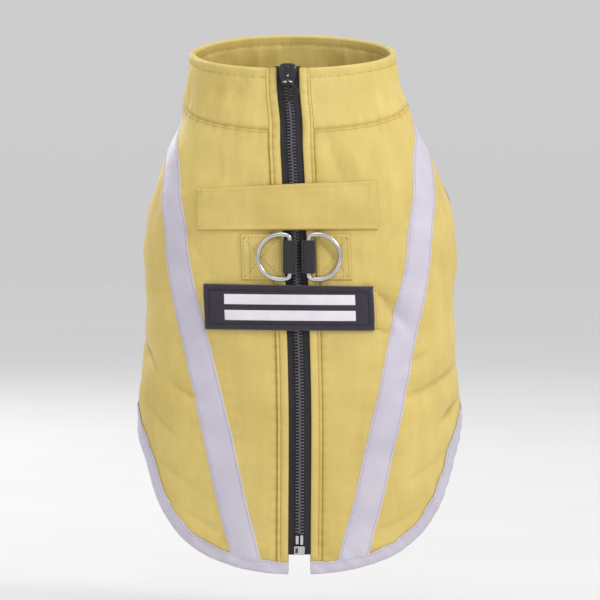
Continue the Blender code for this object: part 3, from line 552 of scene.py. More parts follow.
def seam_line(places, out, facing=1):
    """A line of places as points and ways out, for stitches."""
    places = np.asarray(places, float)
    return cloth(places[:, 0], places[:, 1], out), outward(places[:, 0], places[:, 1]) * facing


# ---- materials

def colour(red, green, blue):
    linear = [((c / 255 + 0.055) / 1.055) ** 2.4 if c > 10 else c / 255 / 12.92 for c in (red, green, blue)]
    return (*linear, 1.0)


WHITE = (1.0, 1.0, 1.0, 1.0)


class Paint:
    """Builds one procedural material round a Principled shader, whose sockets are given."""

    def __init__(self, name, **sockets):
        self.material = bpy.data.materials.new(name)
        self.material.use_nodes = True
        self.nodes, self.links = self.material.node_tree.nodes, self.material.node_tree.links
        self.shader = self.nodes["Principled BSDF"]
        self.bump_from = None
        for socket, value in sockets.items():
            self.shader.inputs[socket.replace("_", " ")].default_value = value

    def join(self, value, socket):
        if isinstance(value, bpy.types.NodeSocket):
            self.links.new(value, socket)
        elif value is not None:
            socket.default_value = value

    def node(self, kind, inputs=None, **settings):
        made = self.nodes.new(f"ShaderNode{kind}")
        for key, value in settings.items():
            setattr(made, key, value)
        for key, value in (inputs or {}).items():
            self.join(value, made.inputs[key])
        return made

    def stretched(self, scale):
        where = self.node("TexCoord").outputs["Object"]
        return self.node("Mapping", {"Vector": where, "Scale": scale}).outputs["Vector"]

    def noise(self, scale, detail=4.0, roughness=0.6, where=None):
        where = where or self.node("TexCoord").outputs["Object"]
        inputs = {"Scale": scale, "Detail": detail, "Roughness": roughness, "Vector": where}
        return self.node("TexNoise", inputs).outputs["Fac"]

    def wave(self, scale, direction):
        """Bands along the cloth's own lengths."""
        inputs = {"Scale": scale, "Detail": 1.0, "Vector": self.node("TexCoord").outputs["UV"]}
        return self.node("TexWave", inputs, wave_type="BANDS", bands_direction=direction).outputs["Fac"]

    def math(self, operation, a, b):
        return self.node("Math", {0: a, 1: b}, operation=operation).outputs[0]

    def tint(self, fac, *stops):
        made = self.node("ValToRGB", {"Fac": fac})
        ramp = made.color_ramp
        while len(ramp.elements) < len(stops):
            ramp.elements.new(0.5)
        for element, (place, shade) in zip(ramp.elements, stops):
            element.position, element.color = place, shade
        return made.outputs["Color"]

    def cloudy(self, fac, low, high):
        return self.tint(fac, (0.3, low), (0.7, high))

    def multiply(self, fac, a, b):
        return self.node("Mix", {0: fac, 6: a, 7: b}, data_type="RGBA", blend_type="MULTIPLY").outputs[2]

    def base(self, value):
        self.join(value, self.shader.inputs["Base Color"])

    def rough(self, fac, low, high):
        spread = self.node("MapRange", {"Value": fac, "To Min": low, "To Max": high})
        self.join(spread.outputs[0], self.shader.inputs["Roughness"])

    def bump(self, height, distance, strength):
        inputs = {"Height": height, "Distance": distance, "Strength": strength, "Normal": self.bump_from}
        self.bump_from = self.node("Bump", inputs).outputs["Normal"]
        self.join(self.bump_from, self.shader.inputs["Normal"])


def yellow_shell(name, shade=1.0):
    """Tightly woven nylon, with painted shade in its creases and beside its seams."""
    paint = Paint(name, Roughness=0.5, Specular_IOR_Level=0.4, Sheen_Weight=0.12, Sheen_Roughness=0.4)
    weave = paint.math("ADD", paint.wave(430, "X"), paint.wave(430, "Y"))
    soft = paint.noise(9, 3)
    streaks = paint.noise(70, 3, 0.6, paint.stretched((1.0, 1.0, 0.22)))
    crumple = paint.noise(30, 2, 0.45, paint.stretched((1.0, 1.0, 0.45)))
    dark, light = (colour(*(c * shade for c in tone)) for tone in ((218, 192, 108), (229, 206, 125)))
    threads = paint.tint(paint.math("MULTIPLY", weave, 0.5), (0.15, (0.84, 0.83, 0.76, 1)), (0.75, WHITE))
    faded = paint.cloudy(streaks, (0.93, 0.92, 0.88, 1), (1.03, 1.03, 1.04, 1))
    # painted shade: the shade attribute darkens the colour towards brown in the creases and beside the seams
    shade_at = paint.node("Attribute", attribute_name="shade").outputs["Fac"]
    fold = paint.tint(shade_at, (0.0, WHITE), (1.0, (0.72, 0.64, 0.5, 1)))
    woven = paint.multiply(0.5, paint.cloudy(soft, dark, light), threads)
    paint.base(paint.multiply(1.0, paint.multiply(1.0, woven, faded), fold))
    paint.rough(soft, 0.38, 0.52)
    paint.bump(crumple, 0.006, 0.5)
    paint.bump(streaks, 0.0012, 0.4)
    paint.bump(paint.noise(240, 3), 0.0004, 0.5)
    paint.bump(weave, 0.00012, 0.6)
    return paint.material


def fleece(name):
    paint = Paint(name, Roughness=0.95, Specular_IOR_Level=0.15, Sheen_Weight=0.55, Sheen_Roughness=0.6,
                  Sheen_Tint=colour(190, 186, 196))
    pile, tufts = paint.noise(700, 6, 0.75), paint.noise(160)
    main = paint.tint(pile, (0.3, colour(38, 36, 41)), (0.55, colour(58, 55, 61)), (0.75, colour(92, 88, 96)))
    paint.base(paint.multiply(1.0, main, paint.cloudy(tufts, (0.8, 0.8, 0.8, 1), (1.1, 1.1, 1.1, 1))))
    paint.bump(tufts, 0.0012, 0.7)
    paint.bump(pile, 0.0006, 0.8)
    return paint.material


def reflective(name, ribbed):
    paint = Paint(name, Roughness=0.42, Specular_IOR_Level=0.6, Sheen_Weight=0.2)
    grain = paint.noise(1800, 2)
    main = paint.cloudy(paint.noise(22, 3), colour(196, 189, 205), colour(211, 205, 218))
    speck = paint.tint(grain, (0.35, (0.9, 0.9, 0.92, 1)), (0.65, (1.02, 1.02, 1.02, 1)))
    paint.base(paint.multiply(0.8, main, speck))
    paint.rough(grain, 0.34, 0.52)
    paint.bump(paint.noise(120, 3), 0.0004, 0.5)
    if ribbed:
        paint.bump(paint.wave(260, "Y"), 0.00025, 0.8)
    else:
        paint.bump(paint.math("ADD", paint.wave(330, "DIAGONAL"), paint.wave(330, "Y")), 0.0001, 0.5)
    return paint.material


def black_weave(name, pitch, dark, light, roughness, rib):
    paint = Paint(name, Roughness=roughness, Specular_IOR_Level=0.35, Sheen_Weight=0.3)
    weave = paint.math("MULTIPLY", paint.wave(pitch, "Y"), paint.wave(pitch * 0.7, "X"))
    paint.base(paint.tint(weave, (0.1, colour(*dark)), (0.8, colour(*light))))
    paint.bump(paint.noise(300, 3), 0.0002, 0.5)
    paint.bump(weave, rib, 0.9)
    return paint.material


def moulded(name, shade, roughness):
    paint = Paint(name, Roughness=roughness)
    grain = paint.noise(900, 3)
    paint.base(paint.cloudy(paint.noise(60, 3), *(colour(*(c + step for c in shade)) for step in (-5, 6))))
    paint.rough(grain, roughness - 0.08, roughness + 0.12)
    paint.bump(grain, 0.00004, 0.6)
    return paint.material


def steel(name):
    paint = Paint(name, Roughness=0.2, Metallic=1.0)
    paint.base(paint.cloudy(paint.noise(70), colour(186, 186, 191), colour(214, 214, 217)))
    paint.rough(paint.noise(240, 5), 0.13, 0.3)
    paint.bump(paint.noise(500, 3), 0.00003, 0.5)
    return paint.material


def hook_badge(name):
    paint = Paint(name, Roughness=0.88, Specular_IOR_Level=0.25, Sheen_Weight=0.35)
    loops = paint.noise(1100, 4, 0.7)
    tones = (0.3, colour(40, 36, 45)), (0.6, colour(62, 56, 68)), (0.8, colour(84, 77, 92))
    paint.base(paint.tint(loops, *tones))
    paint.bump(paint.math("MULTIPLY", paint.wave(300, "X"), paint.wave(300, "Y")), 0.0003, 0.7)
    paint.bump(loops, 0.0003, 0.7)
    return paint.material


def thread(name, shade):
    paint = Paint(name, Roughness=0.7, Specular_IOR_Level=0.3)
    twist = paint.noise(2200, 2)
    paint.base(paint.cloudy(twist, colour(*(c * 0.86 for c in shade)), colour(*shade)))
    paint.bump(twist, 0.00008, 0.8)
    return paint.material


SHELL_CLOTH, STRAP_CLOTH = yellow_shell("yellow_shell"), yellow_shell("yellow_strap", 0.985)
FLEECE = fleece("charcoal_pile")
TAPE, BINDING = reflective("reflective_strip", False), reflective("reflective_edge", True)
ZIP_CLOTH = black_weave("zip_tape", 520, (36, 34, 38), (64, 61, 67), 0.75, 0.0003)
WEBBING = black_weave("webbing", 420, (28, 27, 31), (54, 52, 58), 0.6, 0.00025)
CORD = black_weave("cord", 600, (12, 11, 13), (28, 27, 31), 0.55, 0.0002)
SLIDER_PLASTIC = moulded("slider_enamel", (36, 35, 40), 0.2)
BLACK_PLASTIC = moulded("black_moulding", (52, 50, 56), 0.3)
TOOTH_PLASTIC = moulded("black_teeth", (92, 89, 97), 0.22)
PRINT = moulded("pale_print", (228, 224, 232), 0.5)
STEEL = steel("polished_steel")
BADGE = hook_badge("badge")
YELLOW_THREAD = thread("yellow_thread", (190, 158, 74))
PALE_THREAD = thread("pale_thread", (176, 168, 186))
BLACK_THREAD = thread("black_thread", (48, 46, 54))

# how far the inside and the outside of each layer stand out from the sewing surface
SHELL_LAYER, LINING_LAYER, STRIP_LAYER = (0.7, 2.1), (-1.8, 0.2), (2.0, 2.75)


def stand_in(made, node):
    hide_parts(node)


def declare(made, node):
    stand_in(made, node)


# ---- panels and lining

def dress_allowances():
    """The back panels' seam allowances, which show in the gaps of the side and shoulder seams."""
    seam, side_start = side_path(True), ROWS_SHOULDER + ROWS_ARMHOLE
    across = np.array([(-1.6, 0), (-0.5, 0), (0.6, 0), (1.7, 0)])
    allowances = {"left": [], "right": []}
    for part, edge, count in (("side", seam[side_start:], 90), ("shoulder", seam[:ROWS_SHOULDER + 1], 16)):
        edge = np.apply_along_axis(resampled, 0, edge, np.linspace(0, len(edge) - 1, count))
        for side, word in SIDES:
            grid = mirrored(edge[:, None] + across, side)
            made = wall(f"{part}_allowance_{word}", grid, 0.25, 0.62, SHELL_CLOTH, roll=0.3, tuck=0.2)
            allowances[word].append(made)
    return allowances


def dress_panel(word, node_word, shell_grid, lining_grid):
    made = wall(f"shell_{word}", shell_grid, *SHELL_LAYER, SHELL_CLOTH, tuck=0.35, pad=0.8)
    declare(made, node_word)
    made = wall(f"fleece_{word}", lining_grid, *LINING_LAYER, FLEECE, roll=1.0, tuck=0.1)
    lining = f"lining_{word.removeprefix('back_')}"
    declare(made, lining)


def dress_walls():
    rows = ROWS_SHOULDER + ROWS_ARMHOLE + ROWS_SIDE
    outer = panel_places(zip_side_path(SHELL_NEAR, rows), side_path(True), 14, 0.2)
    inner = np.concatenate([zip_side_path(LINING_NEAR, rows)[:, None], outer], 1)
    outer, inner = finer(outer, 9, 4), finer(inner, 8, 4)
    allowances = dress_allowances()
    for side, word in SIDES:
        dress_panel(f"back_{word}", f"back_panel_{word}", mirrored(outer, side), mirrored(inner, side))
    near = side_path(False)
    chest = finer(panel_places(near, mirrored(near, -1) + (360, 0), 15, 0.5), 7, 5)
    dress_panel("chest", "chest_panel", chest, chest)


RIM_STITCH_DEPTH, FOOT_STITCH_DEPTH = 8.4, 2.6


def collar_section(rim, foot, run):
    """The collar's outline at one place: heights and how far out, outside, over the rim, back down."""
    stitch, turn_start = rim - RIM_STITCH_DEPTH, rim - 3.0
    wrinkle = abs(math.sin(run / 8.6 + 0.9 * math.sin(run / 17))) ** 0.7
    gather = 1.9 * wrinkle - 1.5 + 0.4 * math.sin(run / 11 + 2)
    tiny = 0.3 * math.sin(run / 1.05 + 1.4 * math.sin(run / 5))
    outside, inside = np.linspace(foot, turn_start, 26), np.linspace(turn_start, foot, 22)
    puff = 0.45 * bell(outside - rim + 3.5, 3.2) - 1.1 * bell(outside - foot, 1.4)
    outer = 2.15 - 0.75 * bell(outside - stitch, 1.3) + puff + tiny * bell(outside - stitch, 4.0)
    below = gather / (1 + np.exp((inside - stitch + 3) / 2.0))
    inner = -2.75 + 0.75 * bell(inside - stitch, 1.3) + tiny * bell(inside - stitch, 4.0) + below
    turn = np.radians(np.linspace(78, -78, 9))
    over = np.stack([turn_start + 3.0 * np.cos(turn), -0.15 + 2.75 * np.sin(turn)], -1)
    middle, inner_rim = (foot + rim) / 2, rim - 4.5
    hollow = [(foot, -1.2), (middle, -1.2), (inner_rim, -1.2), (inner_rim, 0.7), (middle, 0.7),
              (foot + 1.0, 0.7), (foot - 3.0, 0.28), (foot - 3.0, 0.6), (foot - 0.2, 0.66)]
    return np.concatenate([np.stack([outside, outer], -1), over, np.stack([inside, inner], -1), hollow])


def dress_collar():
    sections, ways = [], []
    for share in np.linspace(-1, 1, 241):
        angle = 180 + (180 - angle_at(SHELL_NEAR, 0)) * share
        section = collar_section(rim_height(angle), seam_height(angle) + 0.3, angle * MM_PER_DEGREE)
        sections.append(section)
        ways.append(180 + (180 - angle_at(SHELL_NEAR, section[:, 0])) * share)
    sections = np.array(sections)
    made = loft("collar_band", cloth(np.array(ways), sections[..., 0], sections[..., 1]), False, SHELL_CLOTH)
    declare(made, "collar")

    def round_collar(level):
        end = angle_at(SHELL_NEAR, level)
        return np.linspace(end + 0.4, 359.6 - end, 400)

    angles = round_collar(20)
    rim = np.stack([angles, rim_height(angles) - RIM_STITCH_DEPTH], -1)
    stitches("collar_stitching", [seam_line(rim, 1.55), seam_line(rim, -2.15, -1)], YELLOW_THREAD)
    angles = round_collar(-5)
    foot = np.stack([angles, seam_height(angles) - FOOT_STITCH_DEPTH], -1)
    stitches("collar_seam_stitching", [seam_line(foot, 2.0)], YELLOW_THREAD, 3.0, 2.2, 0.22)


def binding_profile(width, wave):
    """A binding's closed outline: how far in from the edge, and how far out of the cloth."""
    shares, turns = (0.26, 0.4, 0.56, 0.72, 0.84, 0.93, 1), np.radians((62, 40, 20, 0, -20, -40, -62))
    puffs = [math.sin(math.pi * min(1, t * 1.1)) for t in shares]
    outer = [(width * t, 3.05 + 0.5 * puff + wave) for t, puff in zip(shares, puffs)]
    bend = [(2.0 - 2.0 * math.cos(turn), 0.1 + 3.35 * math.sin(turn)) for turn in turns]
    inner = [(width * t, -2.9 - 0.4 * puff - wave) for t, puff in zip(shares, puffs)]
    back = [(width, -2.3), (width * 0.55, -2.2), (1.9, -1.6), (1.3, 0.1), (1.9, 1.9), (width * 0.55, 2.5),
            (width, 2.5)]
    return outer[::-1] + bend + inner + back


def bound_edge(name, inward, turns, width, closed, node):
    """A folded binding along an edge, with its row of stitches outside and in."""
    k = np.arange(len(turns))
    waves = 0.26 * np.sin(k * 0.83 + np.sin(k * 0.31)) + 0.14 * np.sin(k * 2.1)
    widths = width + 0.55 * np.sin(k * 0.53 + np.sin(k * 0.21)) + 0.3 * np.sin(k * 1.9)
    profiles = np.array([binding_profile(w, wave) for w, wave in zip(widths, waves)])
    angle, height = inward(turns[:, None], profiles[..., 0])
    made = loft(name, cloth(angle, height, profiles[..., 1]), closed, BINDING)
    declare(made, node)
    lines = []
    row = np.append(k, 0) if closed else k
    angle, height = (values[row] for values in inward(turns, widths - 1.9))
    for facing, outs in ((1, 3.2 + waves), (-1, -3.05 - waves)):
        lines.append((cloth(angle, height, outs[row]), outward(angle, height) * facing))
    stitches(f"{name}_stitching", lines, PALE_THREAD, 2.9, 2.1, 0.22)


def dress_bindings():
    def hem_inward(angle, distance):
        angle, distance = np.broadcast_arrays(angle, distance)
        near = np.minimum(angle, 360 - angle)
        slope = HEM_CURVE(near + 0.5) - HEM_CURVE(near - 0.5)
        at, height = beside(near, HEM_CURVE(near), np.stack([np.ones_like(slope), slope], -1), distance)
        return np.where(angle <= 180, at, 360 - at), height

    first = angle_at(WELT_NEAR, HEM_CURVE(4))
    fine = np.linspace(first, 360 - first, 1441)
    run = running_length(bare_cloth(fine, hem_height(fine)))
    places = np.interp(np.linspace(0, run[-1], 320), run, fine)
    bound_edge("hem_edge", hem_inward, places, 11.0, False, "hem_binding")
    for side, word in SIDES:
        def arm_inward(turn, distance, side=side):
            angle, height = armhole(turn, distance)
            return angle * side, height
        turns = np.linspace(0, 360, 140, endpoint=False)
        node = f"armhole_binding_{word}"
        bound_edge(f"armhole_edge_{word}", arm_inward, turns, 8.0, True, node)


def dress_strips():
    fine = np.linspace(13.5, hem_height(STRIP_CURVE(-390), 3.6), 400)
    run = running_length(bare_cloth(STRIP_CURVE(fine), fine))
    across = both_ways(3.5, 7, 9.4, 10.7, 11.6, 12.2, STRIP_HALF)
    heights = np.interp(np.linspace(0, run[-1], 190), run, fine)
    slope = STRIP_CURVE(heights - 1) - STRIP_CURVE(heights + 1)
    heading = np.stack([slope, np.full(len(slope), -2.0)], -1)[:, None]
    angle, height = beside(STRIP_CURVE(heights)[:, None], heights[:, None], heading, across[None, :])
    grid = np.stack([angle, np.clip(height, hem_height(angle, 4.5), panel_top(angle) - 0.2)], -1)
    groove = -0.3 * bell(np.abs(across) - 10.7, 0.8)[None, :]
    for side, word in SIDES:
        strip = mirrored(grid, side)
        made = wall(f"strip_{word}", strip, *STRIP_LAYER, TAPE, roll=0.8, tuck=0.5, extra=groove)
        declare(made, f"reflective_strip_{word}")
        lines = [seam_line(strip[:, column], 2.55) for column in (3, -4)]
        stitches(f"strip_{word}_stitching", lines, PALE_THREAD, 3.3, 2.3, 0.24)


# ---- the zip

WELT_ACROSS = np.array((WELT_NEAR, 9.8, 10.3, 11.2, 12.6, 14.2, 15.4, 16.2, 17.0, 17.8, 18.4, 18.8, 18.9,
                        21.5, 22.5))
WELT_STITCH, WELT_EDGE = 16.4, 18.85
TAPE_ACROSS, TAPE_END = (3.0, 4.0, 5.0, 6.2, 7.4, 8.6, 9.8, 11.0), -389.4
CORE_TOP, CORE_END = 30, -389
GUARD_TOP, GUARD_END = 18, -385.5
CHAIN_TOP, CHAIN_END, TOOTH_PITCH = 12.0, -372.0, 2.7
# reach across from the zip's middle, width along it, lowest and highest level
TOOTH = ((-1.0, 0.85, 1.5, 3.1), (0.0, 1.35, 1.35, 3.5), (1.6, 0.95, 1.3, 3.55), (3.1, 1.15, 1.2, 3.4),
         (3.75, 0.9, 1.0, 2.7))


def zip_grid(distances, heights):
    distance, height = np.meshgrid(distances, heights)
    return np.stack([angle_at(distance, height), height], -1)


def dress_zip():
    rim, hem = rim_height(4), hem_height(8, HEM_INSET)
    down = np.linspace(rim, hem, 220)
    puff = 0.55 * np.sin(np.pi * np.clip((WELT_ACROSS - WELT_NEAR) / 6.4, 0, 1))
    puff = np.where(WELT_ACROSS > WELT_EDGE, 0, puff - 0.7 * bell(WELT_ACROSS - WELT_STITCH, 0.9))
    under_binding = np.clip((hem + 11.5 - down) / 2.0, 0, 1)[:, None]
    welt_top = np.where(WELT_ACROSS > WELT_EDGE, 0.62, 2.8 - 0.9 * under_binding)
    puff = puff[None, :] * (1 - under_binding)
    core_grid = zip_grid(both_ways(1.2, 2.4, 2.9), np.linspace(CORE_TOP, CORE_END, 120))
    core = wall("chain_core", core_grid, 0.3, 1.6, ZIP_CLOTH, roll=0.5, tuck=0.4)
    for side, word in SIDES:
        grid = mirrored(zip_grid(WELT_ACROSS, down), side)
        made = wall(f"welt_{word}", grid, 0.3, welt_top, SHELL_CLOTH, roll=0.5, tuck=0.3, extra=puff)
        declare(made, f"zip_welt_{word}")
        line = mirrored(zip_grid([WELT_STITCH], np.linspace(rim - 1, hem + 11, 200))[:, 0], side)
        stitches(f"welt_{word}_stitching", [seam_line(line, 2.25)], YELLOW_THREAD, 3.0, 2.2, 0.24)
        grid = mirrored(zip_grid(TAPE_ACROSS, np.linspace(rim + 1.5, TAPE_END, 160)), side)
        made = wall(f"tape_{word}", grid, 0.0, 0.9, ZIP_CLOTH, roll=0.3, tuck=0.2)
        declare(made, f"zip_tape_{word}")
    chain_teeth()
    guard = zip_grid(both_ways(3, 6, 8.8, 10, 10.7, 11), np.linspace(GUARD_TOP, GUARD_END, 130))
    made = wall("guard_flap", guard, -3.6, -2.1, SHELL_CLOTH, roll=1.2, tuck=0.4)
    declare(made, "zip_guard")


def chain_teeth():
    """Two rows of moulded teeth that mesh along the middle of the zip, over its woven core."""
    count = 2 * int((CHAIN_TOP - CHAIN_END) / TOOTH_PITCH)
    heights = CHAIN_TOP - (np.arange(count) + 0.5) * TOOTH_PITCH / 2
    zero = np.zeros(count)
    middles, normals = cloth(zero, heights), outward(zero, heights)
    downs = unit(cloth(zero, heights - 1.0) - middles)
    points = []
    for k, (middle, normal, ahead) in enumerate(zip(middles, normals, downs)):
        across = np.cross(ahead, normal) * (-1 if k % 2 else 1)
        for reach, wide, low, high in TOOTH:
            half = ((-wide / 2, low), (-wide / 2, high - 0.25), (-wide / 4, high))
            for along, out in half + tuple((-along, out) for along, out in reversed(half)):
                points.append(middle + across * reach + ahead * along + normal * out)
    faces = repeated(ring_faces(len(TOOTH), 6), count, 6 * len(TOOTH))
    stand_in(make("chain_teeth", points, faces, TOOTH_PLASTIC, sharp=35), "zip_chain")


def block(name, middle, axes, size, bevel, material, taper=1.0):
    """A rounded block, its right, up and out axes given, its low end narrower by `taper`."""
    right, up, out = axes
    shape = bmesh.new()
    bmesh.ops.create_cube(shape, size=1.0)
    for vertex in shape.verts:
        narrow = taper if vertex.co.z < 0 else 1.0
        vertex.co = vertex.co * Vector((size[0] * narrow, size[1], size[2]))
    bmesh.ops.bevel(shape, geom=list(shape.edges), offset=bevel, segments=3, profile=0.6, affect="EDGES")
    basis = np.column_stack([right, out, up])
    points = [basis @ np.array(vertex.co) + middle for vertex in shape.verts]
    faces = [[vertex.index for vertex in face.verts] for face in shape.faces]
    shape.free()
    return make(name, points, faces, material, sharp=45)


def zip_axes(height):
    """Right, up and out at a height along the zip."""
    out, up = outward(0.0, height), steps(0.0, height)[1]
    up = unit(up - out * (up @ out))
    return np.cross(up, out), up, out


def joint_place(body):
    """Where the joint that carries a body is, from the record."""
    for joint in frame["record"]["behaviour"]["joints"]:
        if joint["child"] == body:
            return np.array(joint["pos_m"]) / MM
    raise RuntimeError(f"no joint carries {body}")


SLIDER_TOP, SLIDER_BOTTOM = 32.2, 13.2
SLIDER_WIDTHS = ((13.2, 5.2), (17.0, 5.9), (24.0, 7.6), (30.0, 7.3), (32.0, 5.6))
# the cord's routes from the bridge: right, towards the jacket, up
CORD_ROUTE = ((0, 0.2, 1.75), (0.1, -1.7, 0.1), (3.8, -1.5, -3.0), (8.4, -0.9, -7.4), (7.4, -0.4, -10.6),
              (3.6, 0.0, -14.6), (1.9, 0.3, -16.4), (0.8, 0.5, -14.8), (0.4, 0.9, -9.0), (0.1, 1.5, -3.4),
              (-0.05, 1.8, -0.2))
KNOT_ROUTE = ((0.4, 0.3, -14.2), (2.6, -0.6, -14.4), (3.0, 0.4, -15.4), (0.8, 0.9, -15.6), (0.2, -0.2, -15.0))


def dress_slider():
    widths, stations = Curve(SLIDER_WIDTHS), []
    for height in np.linspace(SLIDER_TOP, SLIDER_BOTTOM, 22):
        half = widths(height) * (0.8 if height > SLIDER_TOP - 0.3 else 1.0)
        out, middle = outward(0.0, height), bare_cloth(0.0, height)
        end = 1 - 0.25 * bell(height - SLIDER_TOP, 1.2) - 0.25 * bell(height - SLIDER_BOTTOM, 1.2)
        rim = []
        for turn in np.linspace(0, FULL_TURN, 28, endpoint=False):
            c, s = math.cos(turn), math.sin(turn)
            size = (abs(c) ** 5 + abs(s) ** 5) ** -0.2
            crown = 0.55 * bell(c * size, 0.4) if s > 0 else 0.0
            rim.append(middle + (c * size * half, 0, 0) + out * (3.9 + end * 2.3 * s * size + crown))
        stations.append(rim)
    stand_in(loft("slider_body", stations, False, SLIDER_PLASTIC, sharp=60), "zip_slider")
    axis = joint_place("pull")
    foot = ((3.7, 5.4), (3.8, 2.6), (3.2, 0.7), (1.8, 0))
    arch = [(-x, y, 0) for x, y in foot] + [(0, -0.1, 0)] + [(x, y, 0) for x, y in reversed(foot)]
    made = loft("slider_bridge", tube(axis + spline(arch, 40, False), 0.9, 12, False), False, STEEL)
    right, up, out = zip_axes(25.0)
    for side, word in SIDES:
        tilted = unit(up + right * 0.16 * side)
        middle = bare_cloth(0.0, 24.6) + right * 4.3 * side + out * 6.3
        axes = (np.cross(tilted, out), tilted, out)
        block(f"slider_rib_{word}", middle, axes, (0.9, 0.9, 10.5), 0.3, BLACK_PLASTIC)
    axes = (right, up, out)
    block("slider_spine", bare_cloth(0.0, 26.2) + out * 6.9, axes, (2.6, 1.5, 7.6), 0.6, SLIDER_PLASTIC)
    # a painted highlight: a small steel block that stands in for the highlight on the slider
    block("slider_glint", bare_cloth(0.0, 21.4) + out * 6.8, axes, (1.8, 1.1, 1.8), 0.5, STEEL)
    cord = loft("pull_cord", tube(axis + spline(CORD_ROUTE, 110), 0.95, 12), True, CORD, "pull")
    stand_in(cord, "zip_pull")
    knot = loft("pull_cord_knot", tube(axis + spline(KNOT_ROUTE, 40), 0.75, 10), True, CORD, "pull")


END_BOX, END_PINS = -385.6, -376.6


def dress_zip_end():
    axes = right, up, out = zip_axes(END_BOX)
    middle = bare_cloth(0.0, END_BOX)
    made = block("end_box", middle + out * 3.0, axes, (9.6, 3.2, 7.4), 0.9, STEEL, 0.94)
    stand_in(made, "zip_end_box")
    # painted shade: a thin black sheet on the box's face stands in for the hollow of its slot
    slot_shade_middle = middle + out * 4.55 - right * 2.4
    block("end_box_slot_shade", slot_shade_middle, axes, (2.4, 0.3, 4.2), 0.12, BLACK_PLASTIC)
    for word, across, tall in (("left", -2.0, 7.4), ("right", 1.9, 8.4)):
        at = bare_cloth(0.0, END_PINS) + (across, 0, 0) + out * 2.6
        block(f"end_pin_{word}", at, axes, (2.7, 2.4, tall), 0.7, STEEL)


# ---- straps, tabs and badge

def band_lift(distance):
    """How far the bands over the zip stand off it."""
    return 1.2 * np.exp(-((distance / 26.0) ** 4))


def handle_lift(distance):
    return band_lift(distance) + 0.9 * np.sin(np.pi * np.clip((distance + 60) / 118, 0, 1)) ** 0.8


def band_grid(left, right, tops, bottoms, columns, rows):
    """A band's places, their distances from the zip and shares across and down, closest at its edges.

    Its left and right ends are distances, and its top and bottom each a height at either end.
    """
    def marks(count, length):
        close = np.array([0.3, 0.9, 1.8, 2.7]) / length
        return np.unique(np.concatenate([np.linspace(0, 1, count), close, 1 - close]))

    share, tall = np.meshgrid(marks(columns, right - left), marks(rows, tops[0] - bottoms[0]))
    distance = left + (right - left) * share
    top = tops[0] + (tops[1] - tops[0]) * share
    bottom = bottoms[0] + (bottoms[1] - bottoms[0]) * share
    height = top + (bottom - top) * tall
    return np.stack([angle_at(distance, height), height], -1), distance, share, tall


def box_lines(name, outlines, out_at, material, pitch=3.0):
    """Stitched lines on a band, given as corner lists of (distance, height)."""
    lines = []
    for corners in outlines:
        corners = np.array(corners, float)
        for a, b in zip(corners[:-1], corners[1:]):
            distance, height = (a + (b - a) * np.linspace(0, 1, 24)[:, None]).T
            lines.append(seam_line(np.stack([angle_at(distance, height), height], -1), out_at(distance)))
    stitches(name, lines, material, pitch, 2.2, 0.26)


def dress_handle():
    left, right = -85, 72
    places, distance, share, tall = band_grid(left, right, (-75.0, -67.5), (-111.0, -110.3), 90, 20)
    wave = 0.35 * np.sin(distance / 9.0) * bell(tall, 0.16) + 0.3 * np.sin(distance / 13.0 + 2) * tall
    channel = -0.35 * (bell((tall - 0.11) * 36, 0.9) + bell((tall - 0.89) * 36, 0.9))
    rise = handle_lift(distance)
    made = wall("strap_handle", places, 2.15 + rise, 4.7 + rise, STRAP_CLOTH, roll=1.5, tuck=0.55,
                extra=wave + channel, crease_shaded=False)
    declare(made, "handle_strap")
    rows = [[(x, -76.6 + (x - left) * 7.3 / 157), (x, -109.0)]
            for x in (left + 2.6, left + 5.4, right - 2.6, right - 8.6)]
    box_lines("strap_handle_stitching", rows, lambda distance: 4.55 + handle_lift(distance), YELLOW_THREAD)


def dress_badge():
    places, distance = band_grid(-76, 70, (-158.8, -159.5), (-194.0, -195.0), 60, 12)[:2]
    rise = band_lift(distance)
    made = wall("badge_strap", places, 2.1 + rise, 3.5 + rise, STRAP_CLOTH, roll=1.2, tuck=0.5, crease_shaded=False)
    declare(made, "patch_strap")
    box_lines("badge_strap_stitching", [[(67.5, -161.5), (67.5, -193)]], lambda distance: 3.4, YELLOW_THREAD)

    left, right, depth, border = -80, 65.5, 39, 5.2
    places, distance, share, tall = band_grid(left, right, (-156.2, -158.6), (-195.6, -196.6), 90, 26)
    rise = band_lift(distance)
    across, down = share * (right - left), tall * depth
    rim = np.minimum(np.minimum(across, right - left - across), np.minimum(down, depth - down))
    made = wall("badge_face", places, 3.65 + rise, 5.9 + rise, BADGE, roll=1.3, tuck=0.5,
                extra=0.35 * (rim < 4.6) - 0.35 * bell(rim - border, 0.7), crease_shaded=False)
    declare(made, "patch")
    left, right = left + border, right - border
    inner = [(left, -161.5), (right, -163.7), (right, -191.4), (left, -190.5), (left, -161.5)]
    left, right = left - 2.6, right + 2.6
    outer = [(left, -159.0), (right, -161.2), (right, -194.0), (left, -193.0), (left, -159.0)]

    def level(distance):
        return 6.0 + band_lift(distance)

    box_lines("badge_stitching", [inner, outer], level, BLACK_THREAD, 2.6)
    for word, top, bottom in (("upper", -164.8, -174.0), ("lower", -178.4, -187.6)):
        places, distance = band_grid(-62, 49, (top, top - 0.8), (bottom, bottom - 0.8), 60, 5)[:2]
        rise = band_lift(distance)
        bar = wall(f"badge_bar_{word}", places, 5.7 + rise, 6.15 + rise, PRINT, roll=0.6, tuck=0.5)


